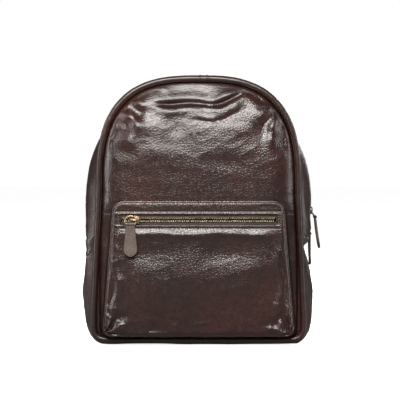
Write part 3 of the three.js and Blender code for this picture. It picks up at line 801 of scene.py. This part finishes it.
def make_lining(mat):
    """The cloth inside, as a rear half on the bag and a front half on the flap's side, baked where it
    stands.
    """
    for name, y_open, y_end, place, node in (
        ("lining_rear_half", 0.6, 41.5, "bag", "lining_body"),
        ("lining_front_half", -0.6, -42.5, FLAP_FOLD, "lining_flap"),
    ):
        angle, y = grid(full_turn(240), np.linspace(y_open, y_end, 22))
        wall = gusset(angle, y, -LINING_DROP + 0.7 * noise(angle * ALONG, y, 24, 51))
        share = np.linspace(1, 0.0, 40)[1:]
        x = wall[:, -1, None, 0] * share
        z = ARCH_Z + (wall[:, -1, None, 2] - ARCH_Z) * share
        cap = np.stack([x, y_end + 0.8 * noise(x, z, 40, 52) * (1 - share), z], -1)
        piece = sheet(name, np.concatenate([wall, cap], 1), mat["lining"], OUTWARDS, LINING_CLOTH, True)
        settle(piece, place, "lining", node)


def cushion(low, high, swell):
    """A flat padded slab between two corners, fuller in its middle."""
    low, high = np.array(low, float), np.array(high, float)
    middle, half = (low + high) / 2, (high - low) / 2
    points, faces = rounded_box(high - low, middle, 9, 40, 120)
    share = (points - middle) / half
    full = swell * (1 - share[:, 0] ** 2).clip(0) * (1 - share[:, 2] ** 2).clip(0)
    points[:, 1] += full * np.sign(share[:, 1])
    return points, faces


def make_inner_pockets(mat):
    divider = solid("padded_divider", mat["lining"], cushion(*DIVIDER, 0.4))
    settle(divider, "bag", "lining", "laptop_divider")
    edge = spline([(-107, 32.5, 238), (0, 32.5, 240.5), (107, 32.5, 238)], 60)
    settle(solid("divider_binding", mat["binding"], tube(edge, 3.0)), "bag", "lining")
    slip = solid("slip_pocket_cloth", mat["lining"], cushion(*SLIP_POCKET, 0.3))
    settle(slip, "bag", "lining", "inner_slip_pocket")
    hem = spline([(-70, 28.2, 190), (70, 28.2, 190)], 30)
    settle(solid("slip_pocket_hem", mat["binding"], tube(hem, 1.7, False, 10)), "bag", "lining")


# ---- Front pocket ----
def close_at_ends(count):
    """Shares from 0 to 1 that lie closer together towards both ends."""
    return 0.5 - 0.5 * np.cos(np.linspace(0, np.pi, count))


def make_pocket(mat):
    bottom, top, zip_z, opening = POCKET["bottom"], POCKET["top"], WINDOW["z"], WINDOW["opening"]
    heights = bottom + (top - bottom) * close_at_ends(190)
    z = np.unique(np.concatenate([heights, [zip_z - opening, zip_z + opening]]))
    hole = WINDOW["half"] / pocket_half(zip_z)
    share = np.unique(np.concatenate([2 * close_at_ends(230) - 1, [-hole, hole]]))
    grid_z, grid_share = grid(z, share)
    points = pocket_skin(grid_share * pocket_rim(grid_z), grid_z)
    faces = grid_faces(len(z), len(share))
    middle = points.reshape(-1, 3)[faces].mean(1)
    beside = np.abs(middle[:, 0]) >= hole * pocket_half(middle[:, 2])
    outside = beside | (np.abs(middle[:, 2] - zip_z) >= opening - 0.01)
    panel = make("pocket_leather", points, faces[outside], mat["front"], TO_FRONT)
    settle(thicken(panel, BACK_LEATHER), "bag", "front_leather", "pocket_panel", "pocket_gusset")
    z, share = grid(np.linspace(bottom + 4, top - 4, 30), np.linspace(-1, 1, 40))
    x = share * (pocket_rim(z) - 4)
    cloth = np.stack([x, -52.6 - 0.3 * noise(x, z, 30, 61), z], -1)
    piece = sheet("pocket_lining_cloth", cloth, mat["lining"], TO_FRONT, POCKET_CLOTH)
    settle(piece, "bag", "lining", "pocket_lining")


def pocket_rim_path(inset):
    """The pocket's outline, set in from its rim, from one lower corner up over the top to the other."""
    low, high = POCKET["bottom"] + POCKET["low_corner"], POCKET["top"] - POCKET["corner"]
    z = np.linspace(low, high, 60)
    left = np.stack([-(pocket_half(z) - inset), z], -1)
    r = POCKET["corner"] - inset
    turn = np.linspace(0, np.pi / 2, 14)
    centre = pocket_half(POCKET["top"]) - POCKET["corner"]
    corner = np.stack([-(centre + r * np.cos(turn)), high + r * np.sin(turn)], -1)
    across = np.stack([np.linspace(-centre, centre, 80), np.full(80, POCKET["top"] - inset)], -1)
    half = np.vstack([left, corner])
    return np.vstack([half, across, half[::-1] * [-1, 1]])


def make_pocket_stitches(mat):
    rim = pocket_rim_path(5.6)
    half, z0, reach = WINDOW["half"], WINDOW["z"], WINDOW["stitch"]
    paths = [(rim[:, 0], rim[:, 1])]
    for z in (z0 + reach, z0 - reach):
        paths.append((np.linspace(-half - 4, half + 4, 160), np.full(160, z)))
    for x in (half + 3.6, half + 6.6, -half - 3.6):
        paths.append((np.full(14, x), np.linspace(z0 - reach, z0 + reach, 14)))
    sew("pocket_stitches", mat, "bag", -Y_AXIS, [pocket_skin(x, z, 0.15) for x, z in paths])


def make_pocket_zip(mat):
    half, z0, pitch = WINDOW["half"], WINDOW["z"], CHAIN["pitch"]
    for row, side in (("upper", 1), ("lower", -1)):
        x, z = grid(np.linspace(-half - 5, half + 5, 140), z0 + side * np.linspace(2.6, 14, 10))
        skin = np.stack([x, POCKET_FACE + 2.7 - 0.25 * np.sin(x / 9), z], -1)
        tape = sheet(f"pocket_zip_{row}_tape", skin, mat["tape"], TO_FRONT, TAPE_CLOTH)
        settle(tape, "bag", "zip_tape", f"pocket_zip_tape_{row}")
        start = 1.5 - half + (0 if side > 0 else pitch / 2)
        teeth = []
        for at in np.arange(start, half - 1.5, pitch):
            centre = np.array([at, POCKET_FACE + 2.3, z0 + side * CHAIN["row"]])
            teeth.append(tooth(centre, X_AXIS, Z_AXIS * side, -Y_AXIS))
        piece = solid(f"pocket_zip_{row}_metal", mat["teeth"], *teeth)
        settle(piece, "bag", "zip_metal", f"pocket_zip_teeth_{row}")


# ---- Sliders and pulls ----
def placed(shape, origin, basis, flip=1):
    """A shape drawn in a local frame, set at origin with the local axes along the rows of basis."""
    points, faces = shape
    return (points @ np.array(basis, float) + np.array(origin, float)) * flip, faces


def both_ways(half):
    """Points of a bar from one end to its middle, and on to its other end along Z."""
    return half + [(x, y, -z) for x, y, z in half[::-1]]


def slider_shapes():
    """A slider whose +X points out of the leather and whose +Z runs along the zip."""
    shapes = [
        rounded_box((1.4, 9.2, 13.0), (0.05, 0, 0), 4),
        rounded_box((1.6, 8.6, 12.4), (-6.05, 0, 0), 4),
        rounded_box((6.0, 0.6, 8.0), (-3.0, 0, 0), 6),
        rounded_box((1.4, 4.2, 8.6), (0.7, 0, 0), 3),
    ]
    bridge = both_ways([(0.6, 0, -5.2), (2.6, 0, -5.3), (4.9, 0, -4.2), (6.0, 0, -1.6)])
    shapes.append(tube(spline(bridge, 36), 0.95, False, 12, 1.5))
    for side in (-1, 1):
        rail = both_ways([(0.3, side * 4.6, -5.6), (-0.9, side * 4.9, -5.2)])
        shapes.append(tube(spline(rail, 24), 0.6, False, 8))
    return shapes


def ring_shape():
    """A D-ring that hangs down -Z from the origin in the YZ plane, with its bar at the bottom."""
    r, drop = RING["radius"], RING["drop"]
    loop = [(0, r * math.cos(a), r * (math.sin(a) - 1)) for a in np.linspace(0, np.pi, 15)]
    corner = [(0, -r, 2.2 - drop), (0, 1.5 - r, 0.3 - drop), (0, 3.0 - r, -drop)]
    loop += corner + [(0, 0, -drop)] + [(0, -y, z) for _, y, z in corner[::-1]]
    return tube(spline(loop, 120, True), RING["wire"], True, 14)


def pull_half_width(z):
    """Half the pull's width above its round tip."""
    tip = PULL["bottom"] / 2
    return np.interp(-z, [1.0, PULL["length"] - tip], [PULL["top"] / 2 - 0.6, tip])


def pull_sag(z):
    return 0.5 * np.sin(z / PULL["length"] * math.pi)


def pull_shape():
    """The leather pull, from its fold down to its round tip."""
    tip = PULL["bottom"] / 2
    turn_z = tip - PULL["length"]
    z = np.concatenate([np.linspace(-1.0, turn_z, 40), turn_z - tip * np.sin(np.linspace(0.04, 1.5, 26))])
    round_part = np.sqrt(np.maximum(tip**2 - (z - turn_z) ** 2, 0.01))
    width = np.where(z < turn_z, round_part, pull_half_width(z))
    angle = full_turn(44)
    rings = []
    for height, half in zip(z, width):
        across = soften(np.cos(angle), 0.55) * half
        out = soften(np.sin(angle), 0.45) * PULL["thickness"] / 2 * min(1, half / 1.4)
        groove = 0.35 * ridge(np.abs(across), max(half - 2.4, 0), 0.6)
        out = out * (1 - groove / 1.7) + pull_sag(height)
        rings.append(np.stack([out, across, np.full(44, height)], -1))
    return loft(rings)


def pull_fold():
    """The strip of leather that wraps the ring's bar."""
    angle = full_turn(20)
    thick = PULL["fold_half"] * soften(np.sin(angle), 0.4)[:, None]
    across = (PULL["top"] / 2 - 1.3) * soften(np.cos(angle), 0.4)[:, None] * Y_AXIS
    rings = []
    for turn in np.linspace(-2.35, 2.35, 26) + np.pi / 2:
        outward = np.array([math.cos(turn), 0, math.sin(turn)])
        rings.append(PULL["fold"] * outward + thick * outward + across)
    return loft(rings)


def pull_stitch_line():
    tip, inset = PULL["bottom"] / 2, 2.4
    turn_z = tip - PULL["length"]
    z = np.linspace(-4.5, turn_z, 20)
    side = np.stack([pull_half_width(z) - inset, z], -1)
    turn = np.linspace(0, np.pi, 20)[1:-1]
    arc = np.stack([(tip - inset) * np.cos(turn), turn_z - (tip - inset) * np.sin(turn)], -1)
    return np.vstack([side, arc, (side * [-1, 1])[::-1]])


def tilted(basis, tilt):
    """The basis of a part that hangs, swung outwards by an angle."""
    c, s = math.cos(tilt), math.sin(tilt)
    return np.array([[c, 0, s], [0, 1, 0], [-s, 0, c]]) @ np.array(basis, float)


def make_pull(mat, label, prefix, metal, frame, origin, basis, ring_tilt, pull_tilt):
    """A slider on its frame, and a ring and a leather pull that hang from origin."""
    kind, _, key = label.partition("_")
    end = f"_{key}" if key else ""
    shapes = [placed(shape, *frame) for shape in slider_shapes()]
    slider = solid(f"{prefix}slider{end}_metal", metal, *shapes)
    settle(slider, f"{kind}_slider{end}", "zip_metal", f"{kind}_slider{end}")
    ring_basis, pull_basis = tilted(basis, ring_tilt), tilted(basis, pull_tilt)
    ring = solid(f"{prefix}ring{end}_metal", metal, placed(ring_shape(), origin, ring_basis))
    settle(ring, f"{kind}_ring{end}", "zip_metal", f"{kind}_pull_ring{end}")
    bar = np.array(origin) - RING["drop"] * ring_basis[2]
    shapes = [placed(shape, bar, pull_basis) for shape in (pull_shape(), pull_fold())]
    pull = solid(f"{prefix}pull{end}_leather", mat["tab"], *shapes)
    settle(pull, f"{kind}_pull{end}", "trim_leather", f"{kind}_pull{end}")
    across, down = pull_stitch_line().T
    lines = []
    for face in (1.62, -1.62):
        lines.append(np.stack([face + pull_sag(down), across, down], -1) @ pull_basis + bar)
    place = f"{kind}_pull{end}"
    sew(f"{prefix}pull{end}_leather_stitches", mat, place, pull_basis[0], lines, 2.6, 1.8, 0.3)


def make_pulls(mat):
    for key, angle, ring_tilt, pull_tilt in (("a", SLIDER_A, 0.61, 0.14), ("b", SLIDER_B, 0.42, 0.02)):
        out = np.array([math.cos(angle), 0, math.sin(angle)])
        along = np.array([-math.sin(angle), 0, math.cos(angle)])
        centre = ARCH_Z * Z_AXIS
        frame = (centre + TRACK_R * out, [out, Y_AXIS, along])
        origin = centre + (TRACK_R + BRIDGE_OUT) * out
        make_pull(mat, f"main_{key}", "", mat["bronze"], frame, origin, np.eye(3), ring_tilt, pull_tilt)
    x, z = POCKET_SLIDER_X, WINDOW["z"]
    frame = ((x, POCKET_FACE, z), [-Y_AXIS, -Z_AXIS, X_AXIS])
    origin = (x + POCKET_RING_SHIFT[0], POCKET_FACE - BRIDGE_OUT, z + POCKET_RING_SHIFT[1])
    make_pull(mat, "pocket", "pocket_", mat["brass"], frame, origin, [-Y_AXIS, X_AXIS, Z_AXIS], 0, 0.1)


# ---- Back, straps and handle ----
def rounded_outline(corners, radius, count=8):
    """A closed outline with its corners rounded."""
    corners = np.asarray(corners, float)
    t = np.linspace(0, 1, count)[:, None]
    out = []
    for before, corner, after in zip(np.roll(corners, 1, 0), corners, np.roll(corners, -1, 0)):
        a = corner + unit(before - corner) * radius
        b = corner + unit(after - corner) * radius
        out.append((1 - t) ** 2 * a + 2 * t * (1 - t) * corner + t**2 * b)
    return np.vstack(out)


def patch(mat, name, stitch_name, corners, radius, depths, nodes, stitch):
    """A flat leather patch between two depths, and its thread: how far out it runs, then its sizes."""
    rim = rounded_outline(corners, radius)
    centre = rim.mean(0)
    low, high = depths
    rings = []
    for scale, share in ((0.985, 0.0), (1.0, 0.25), (1.0, 0.7), (0.985, 1.0), (0.9, 1.0), (0.5, 1.0)):
        rings.append(at_depth(centre + (rim - centre) * scale, low + (high - low) * share))
    settle(solid(name, mat["trim"], loft(rings)), "bag", "trim_leather", *nodes)
    scale, *sizes = stitch
    line = centre + (np.vstack([rim, rim[:1]]) - centre) * scale
    sew(stitch_name, mat, "bag", Y_AXIS, [at_depth(line, high + 0.1)], *sizes)


def make_back(mat):
    panel = disc("back_panel_leather", back_skin, mat["strap"], TO_BACK, BACK_LEATHER)
    settle(panel, "bag", "side_leather", "back_panel", "back_foam")
    x = np.linspace(-QUILT_SPAN["x"], QUILT_SPAN["x"], 120)
    z = np.linspace(QUILT_SPAN["low"], QUILT_SPAN["high"], 130)
    lines = [back_skin(x, np.full(120, row), 0.1) for row in QUILT_ROWS]
    lines += [back_skin(np.full(130, column), z, 0.1) for column in (-QUILT_X, QUILT_X)]
    sew("back_quilting", mat, "bag", Y_AXIS, lines)
    patch(mat, "yoke_leather", "yoke_stitches", YOKE, 5, YOKE_DEPTHS, ["strap_yoke"], (0.955,))


def strap_line(share):
    share = np.asarray(share, float)[..., None]
    point = STRAP_TOP + (STRAP_FOOT - STRAP_TOP) * share
    return point + STRAP_BOW * np.clip(np.sin(np.pi * share), 0, 1) ** 0.8 * Y_AXIS


def strap_out(run):
    """The direction out of a strap's face where it runs along run."""
    return unit(np.stack([0 * run[..., 0], -run[..., 2], run[..., 1]], -1))


def strap_rings(path, widths, thick, profile, sides=40):
    """Rings across a strap that lies along path, with its width along X. profile shapes the thickness."""
    out = strap_out(np.gradient(path, axis=0))
    u = np.cos(np.linspace(0, np.pi, sides))
    around = np.concatenate([u, u[::-1][1:-1]])
    face = np.concatenate([np.ones(sides), -np.ones(sides - 2)])
    rings = []
    for point, normal, width, height in zip(path, out, widths, thick):
        across = (around * width / 2)[:, None] * X_AXIS
        rings.append(point + (profile(around) * face * height / 2)[:, None] * normal + across)
    return np.array(rings), out


def pad_profile(u):
    edge = (1 - np.abs(u) ** 7) ** 0.5
    return edge * (0.62 + 0.38 * (1 - ridge(np.abs(u), 0.80, 0.07)) * ease(1.0, 0.6, np.abs(u)))


def flat_profile(u):
    return (1 - np.abs(u) ** 12) ** 0.5


def make_pad(mat, side, flip):
    head = [(71.5, 58.2, 331), (72.2, 58.6, 322), (73.3, 60.5, 311)]
    path = spline(np.vstack([head, strap_line(np.linspace(0.03, BUCKLE_SHARE - 0.025, 40))]), 150)
    down = np.linspace(0, 1, len(path))
    widths = PAD["width"] - PAD["taper"] * down - 4 * ridge(down, 1, 0.02)
    thick = PAD["thickness"] * ease(-0.01, 0.10, down) * (0.55 + 0.45 * ease(0.0, 0.22, down)) + 2.4
    thick = np.minimum(thick, PAD["thickness"]) * (1 - 0.45 * ease(0.965, 1.0, down))
    rings, out = strap_rings(path, widths, thick, pad_profile)
    bend = ("bag", f"strap_{side}", *(np.array(PAD_FOLD) * flip).tolist())
    piece = solid(f"strap_pad_{side}_leather", mat["strap"], loft(rings * flip))
    settle(piece, bend, "strap_leather", f"strap_pad_{side}")
    lines = []
    for edge in (-PAD["stitch_share"], PAD["stitch_share"]):
        line = path + out * (thick * 0.31 + 0.15)[:, None] + edge * widths[:, None] * X_AXIS
        lines.append(line[10:-4] * flip)
    sew(f"strap_stitches_{side}", mat, bend, Y_AXIS, lines, 3.6)


def make_tail(mat, side, flip):
    foot = [(118, 63.0, 50), (118, 59.6, 44), (118, 58.6, 34)]
    path = spline(np.vstack([strap_line(np.linspace(BUCKLE_SHARE, 0.955, 26)), foot]), 90)
    rings, out = strap_rings(path, np.full(90, TAIL["width"]), np.full(90, TAIL["thickness"]), flat_profile)
    bend = (f"strap_{side}", "bag", *(np.array(TAIL_FOLD) * flip).tolist())
    piece = solid(f"strap_tail_{side}_leather", mat["trim"], loft(rings * flip))
    settle(piece, bend, "strap_leather", f"strap_tail_{side}")
    lines = [(path + out * 1.62 + edge * X_AXIS)[2:-2] * flip for edge in (-TAIL["stitch"], TAIL["stitch"])]
    sew(f"tail_stitches_{side}", mat, bend, Y_AXIS, lines, 3.4, 2.3, 0.34)
    x = STRAP_FOOT[0] - 8
    corners = [((x + shift) * flip[0], z) for shift, z in FOOT]
    patch(mat, f"strap_foot_{side}_leather", f"foot_stitches_{side}", corners, 4, FOOT_DEPTHS,
          [f"strap_foot_{side}"], (0.84,))


def make_strap_holes(mat, side, flip):
    """The punched holes, as discs of painted shadow just proud of the tail's face."""
    turn = full_turn(14)[:, None]
    shapes = []
    for at in STRAP_HOLES:
        normal = strap_out(strap_line(at + 0.01) - strap_line(at - 0.01))
        circle = HOLE_RADIUS * (np.cos(turn) * X_AXIS + np.sin(turn) * np.cross(normal, X_AXIS))
        rings = []
        for height, scale in ((1.4, 1), (1.66, 1), (1.7, 0.7)):
            rings.append(strap_line(at) + normal * height + scale * circle)
        shapes.append(loft(np.array(rings) * flip))
    settle(solid(f"strap_holes_{side}", mat["hole"], *shapes), f"strap_{side}")


def buckle_frame():
    """Where the buckle sits on the strap, and its axes: along X, out of the strap and up it."""
    slope = strap_line(BUCKLE_SHARE + 0.04) - strap_line(BUCKLE_SHARE + 0.02)
    tilt = math.atan2(slope[1], -slope[2])
    c, s = math.cos(tilt), math.sin(tilt)
    return strap_line(BUCKLE_SHARE + 0.03), np.array([[1, 0, 0], [0, c, s], [0, -s, c]])


def make_buckle(mat, side, flip):
    origin, basis = buckle_frame()
    half, reach, out = BUCKLE["half"], BUCKLE["reach"], BUCKLE["out"]
    loop = rounded_outline([(half * a, reach * b) for a, b in SQUARE], BUCKLE["corner"], 9)
    wire = tube(at_depth(loop, out), BUCKLE["wire"], True)
    piece = solid(f"buckle_{side}_metal", mat["brass"], placed(wire, origin, basis, flip))
    settle(piece, f"strap_{side}", "buckle_metal", f"strap_buckle_{side}")
    pin = [(0, 5.6, 11.6), (0, 7.0, 9.0), (0, 7.2, 0), (0, 6.9, -8), (0, 6.4, -11.4)]
    radii = np.interp(np.linspace(0, 1, 30), [0, 0.1, 0.9, 1], [1.3, 1.25, 1.15, 0.7])
    shape = placed(tube(spline(pin, 30), radii), origin, basis, flip)
    piece = solid(f"tongue_{side}_metal", mat["brass"], shape)
    settle(piece, f"tongue_{side}", "buckle_metal", f"buckle_tongue_{side}")
    end = strap_line(np.linspace(BUCKLE_SHARE - 0.055, BUCKLE_SHARE - 0.012, 8))
    bar = origin + np.array([0, out, reach]) @ basis
    path = spline(np.vstack([end + [0, 2.2, 0], bar + [0, 2.6, 1.5], bar + [0, 2.0, -2.4]]), 40)
    rings, _ = strap_rings(path, np.full(40, CHAPE["width"]), np.full(40, CHAPE["thickness"]), flat_profile)
    settle(solid(f"buckle_chape_{side}", mat["trim"], loft(rings * flip)), f"strap_{side}", "strap_leather")


def make_keeper(mat, side, flip):
    ends = strap_line(np.array([BUCKLE_SHARE + 0.10, BUCKLE_SHARE + 0.13]))
    run = (ends[1] - ends[0]) / 2
    out = strap_out(run)
    rings = []
    corners = [(KEEPER["half"] * a, KEEPER["reach"] * b) for a, b in SQUARE]
    for x, height in rounded_outline(corners, KEEPER["corner"], 7):
        centre = ends.mean(0) + x * X_AXIS + out * height
        normal = unit(x * 0.06 * X_AXIS + out * np.sign(height))
        rings.append([centre + run * a + normal * b * 0.8 for a, b in SQUARE])
    keeper = solid(f"keeper_{side}_leather", mat["trim"], loft(np.array(rings) * flip, True))
    settle(keeper, f"strap_{side}", "strap_leather", f"strap_keeper_{side}")


def make_straps(mat):
    for side, mirror in (("right", 1), ("left", -1)):
        for make_part in (make_pad, make_tail, make_strap_holes, make_buckle, make_keeper):
            make_part(mat, side, np.array([mirror, 1, 1]))


def make_handle(mat):
    half, drop, y, z, lean = (HANDLE[key] for key in ("half", "drop", "y", "z", "lean"))
    angle = np.linspace(0, np.pi, 60)
    x, down = half * np.cos(angle), -drop * np.sin(angle) ** 0.8
    arc = np.stack([x, y - down * math.sin(lean), z + down * math.cos(lean)], -1)
    lead = np.array([(half, 57.6, z + 9.5), (half, 59.2, z + 5), (half, 61.4, z + 1.5)])
    path = spline(np.vstack([lead, arc[2:-2], (lead * [-1, 1, 1])[::-1]]), 150)
    radius = HANDLE["radius"] * (1 - 0.42 * ease(0.80, 0.97, np.abs(np.linspace(-1, 1, 150))))
    grip = solid("handle_leather", mat["trim"], tube(path, radius, False, 24))
    settle(grip, HANDLE_FOLD, "trim_leather", "grab_handle")
    line = path[22:-22] + [0, HANDLE["radius"] + 0.1, 0]
    sew("handle_stitches", mat, "grab_handle", Y_AXIS, [line], 3.4)
    for side, x in (("right", half), ("left", -half)):
        corners = [(x + across, z + up) for across, up in HANDLE_TAB]
        patch(mat, f"handle_tab_{side}", f"handle_tab_stitches_{side}", corners, 3, HANDLE_TAB_DEPTHS, [],
              (0.76, 2.8, 1.9, 0.32))


# ---- Stage ----
def add_object(name, data, location, target):
    """A light or a camera that looks at target."""
    obj = bpy.data.objects.new(name, data)
    obj.location = location
    aim = Vector(np.array(target) - np.array(location))
    obj.rotation_euler = aim.to_track_quat("-Z", "Y").to_euler()
    bpy.context.scene.collection.objects.link(obj)
    return obj


def area_light(name, location, target, size, energy, color=(1, 1, 1)):
    data = bpy.data.lights.new(name, "AREA")
    data.shape = "RECTANGLE"
    data.size, data.size_y = size
    data.energy = energy
    data.color = color
    add_object(name, data, location, target)


def make_floor():
    """A pale floor that glows for the camera only, so that it runs into the backdrop."""
    material, tree, shader, coords = new_material("studio_floor")
    pale = ramp(tree, cloud(tree, coords, 3), (0.2, (0.86, 0.86, 0.86)), (0.8, (0.9, 0.9, 0.9)))
    seen = add_node(tree, "LightPath").outputs["Is Camera Ray"]
    dim = ramp(tree, seen, (0.0, (0.25, 0.25, 0.25)), (1.0, (1, 1, 1)))
    color = multiply(tree, pale.outputs["Color"], dim.outputs["Color"], 1.0)
    feed(tree, shader, Base_Color=color, Emission_Strength=ranged(tree, seen, 0.0, 0.86),
         Emission_Color=(1, 1, 1, 1), Roughness=0.9)
    corners = [(6000 * a, 6000 * b, -0.3) for a, b in SQUARE]
    make("studio_floor", corners, [[0, 1, 2, 3]], material)


def make_world():
    """A white backdrop that gives only part of its brightness as light."""
    world = bpy.data.worlds.new("studio")
    world.use_nodes = True
    tree = world.node_tree
    seen = add_node(tree, "LightPath").outputs["Is Camera Ray"]
    feed(tree, tree.nodes["Background"], Strength=ranged(tree, seen, 0.12, 1.0), Color=(1, 1, 1, 1))
    bpy.context.scene.world = world
    bpy.context.scene.view_settings.view_transform = "Standard"


def make_lights():
    area_light("top_softbox", (-0.16, -1.25, 0.98), (-0.02, 0, 0.3), (0.95, 0.46), 56, (1, 0.96, 0.92))
    area_light("left_softbox", (-1.2, -0.35, 0.5), (0, 0, 0.15), (0.25, 1.0), 12)
    area_light("right_softbox", (1.2, -0.3, 0.5), (0, 0, 0.15), (0.25, 1.0), 9)
    area_light("rear_fill", (0.3, 1.5, 0.7), (0, 0, 0.2), (1.8, 1.0), 36)


def make_camera():
    distance, width, elevation = 2.2, 0.544, math.radians(2.5)
    data = bpy.data.cameras.new("camera")
    data.sensor_width = 36
    data.lens = data.sensor_width * distance / width
    target = np.array([0.002, -0.06, 0.2])
    location = target + distance * np.array([0, -math.cos(elevation), math.sin(elevation)])
    bpy.context.scene.camera = add_object("camera", data, location, target)


def main():
    for obj in list(bpy.data.objects):
        bpy.data.objects.remove(obj)
    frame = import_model()
    mat = make_materials()
    for make_part in (
        make_front, make_piping, make_gusset, make_end_patches, make_main_zip, make_lining,
        make_inner_pockets, make_pocket, make_pocket_stitches, make_pocket_zip, make_pulls,
        make_back, make_straps, make_handle,
    ):
        make_part(mat)
    board = frame["nodes"]["base_board"].data.materials
    board.clear()
    board.append(mat["board"])
    make_floor()
    make_world()
    make_lights()
    make_camera()


main()
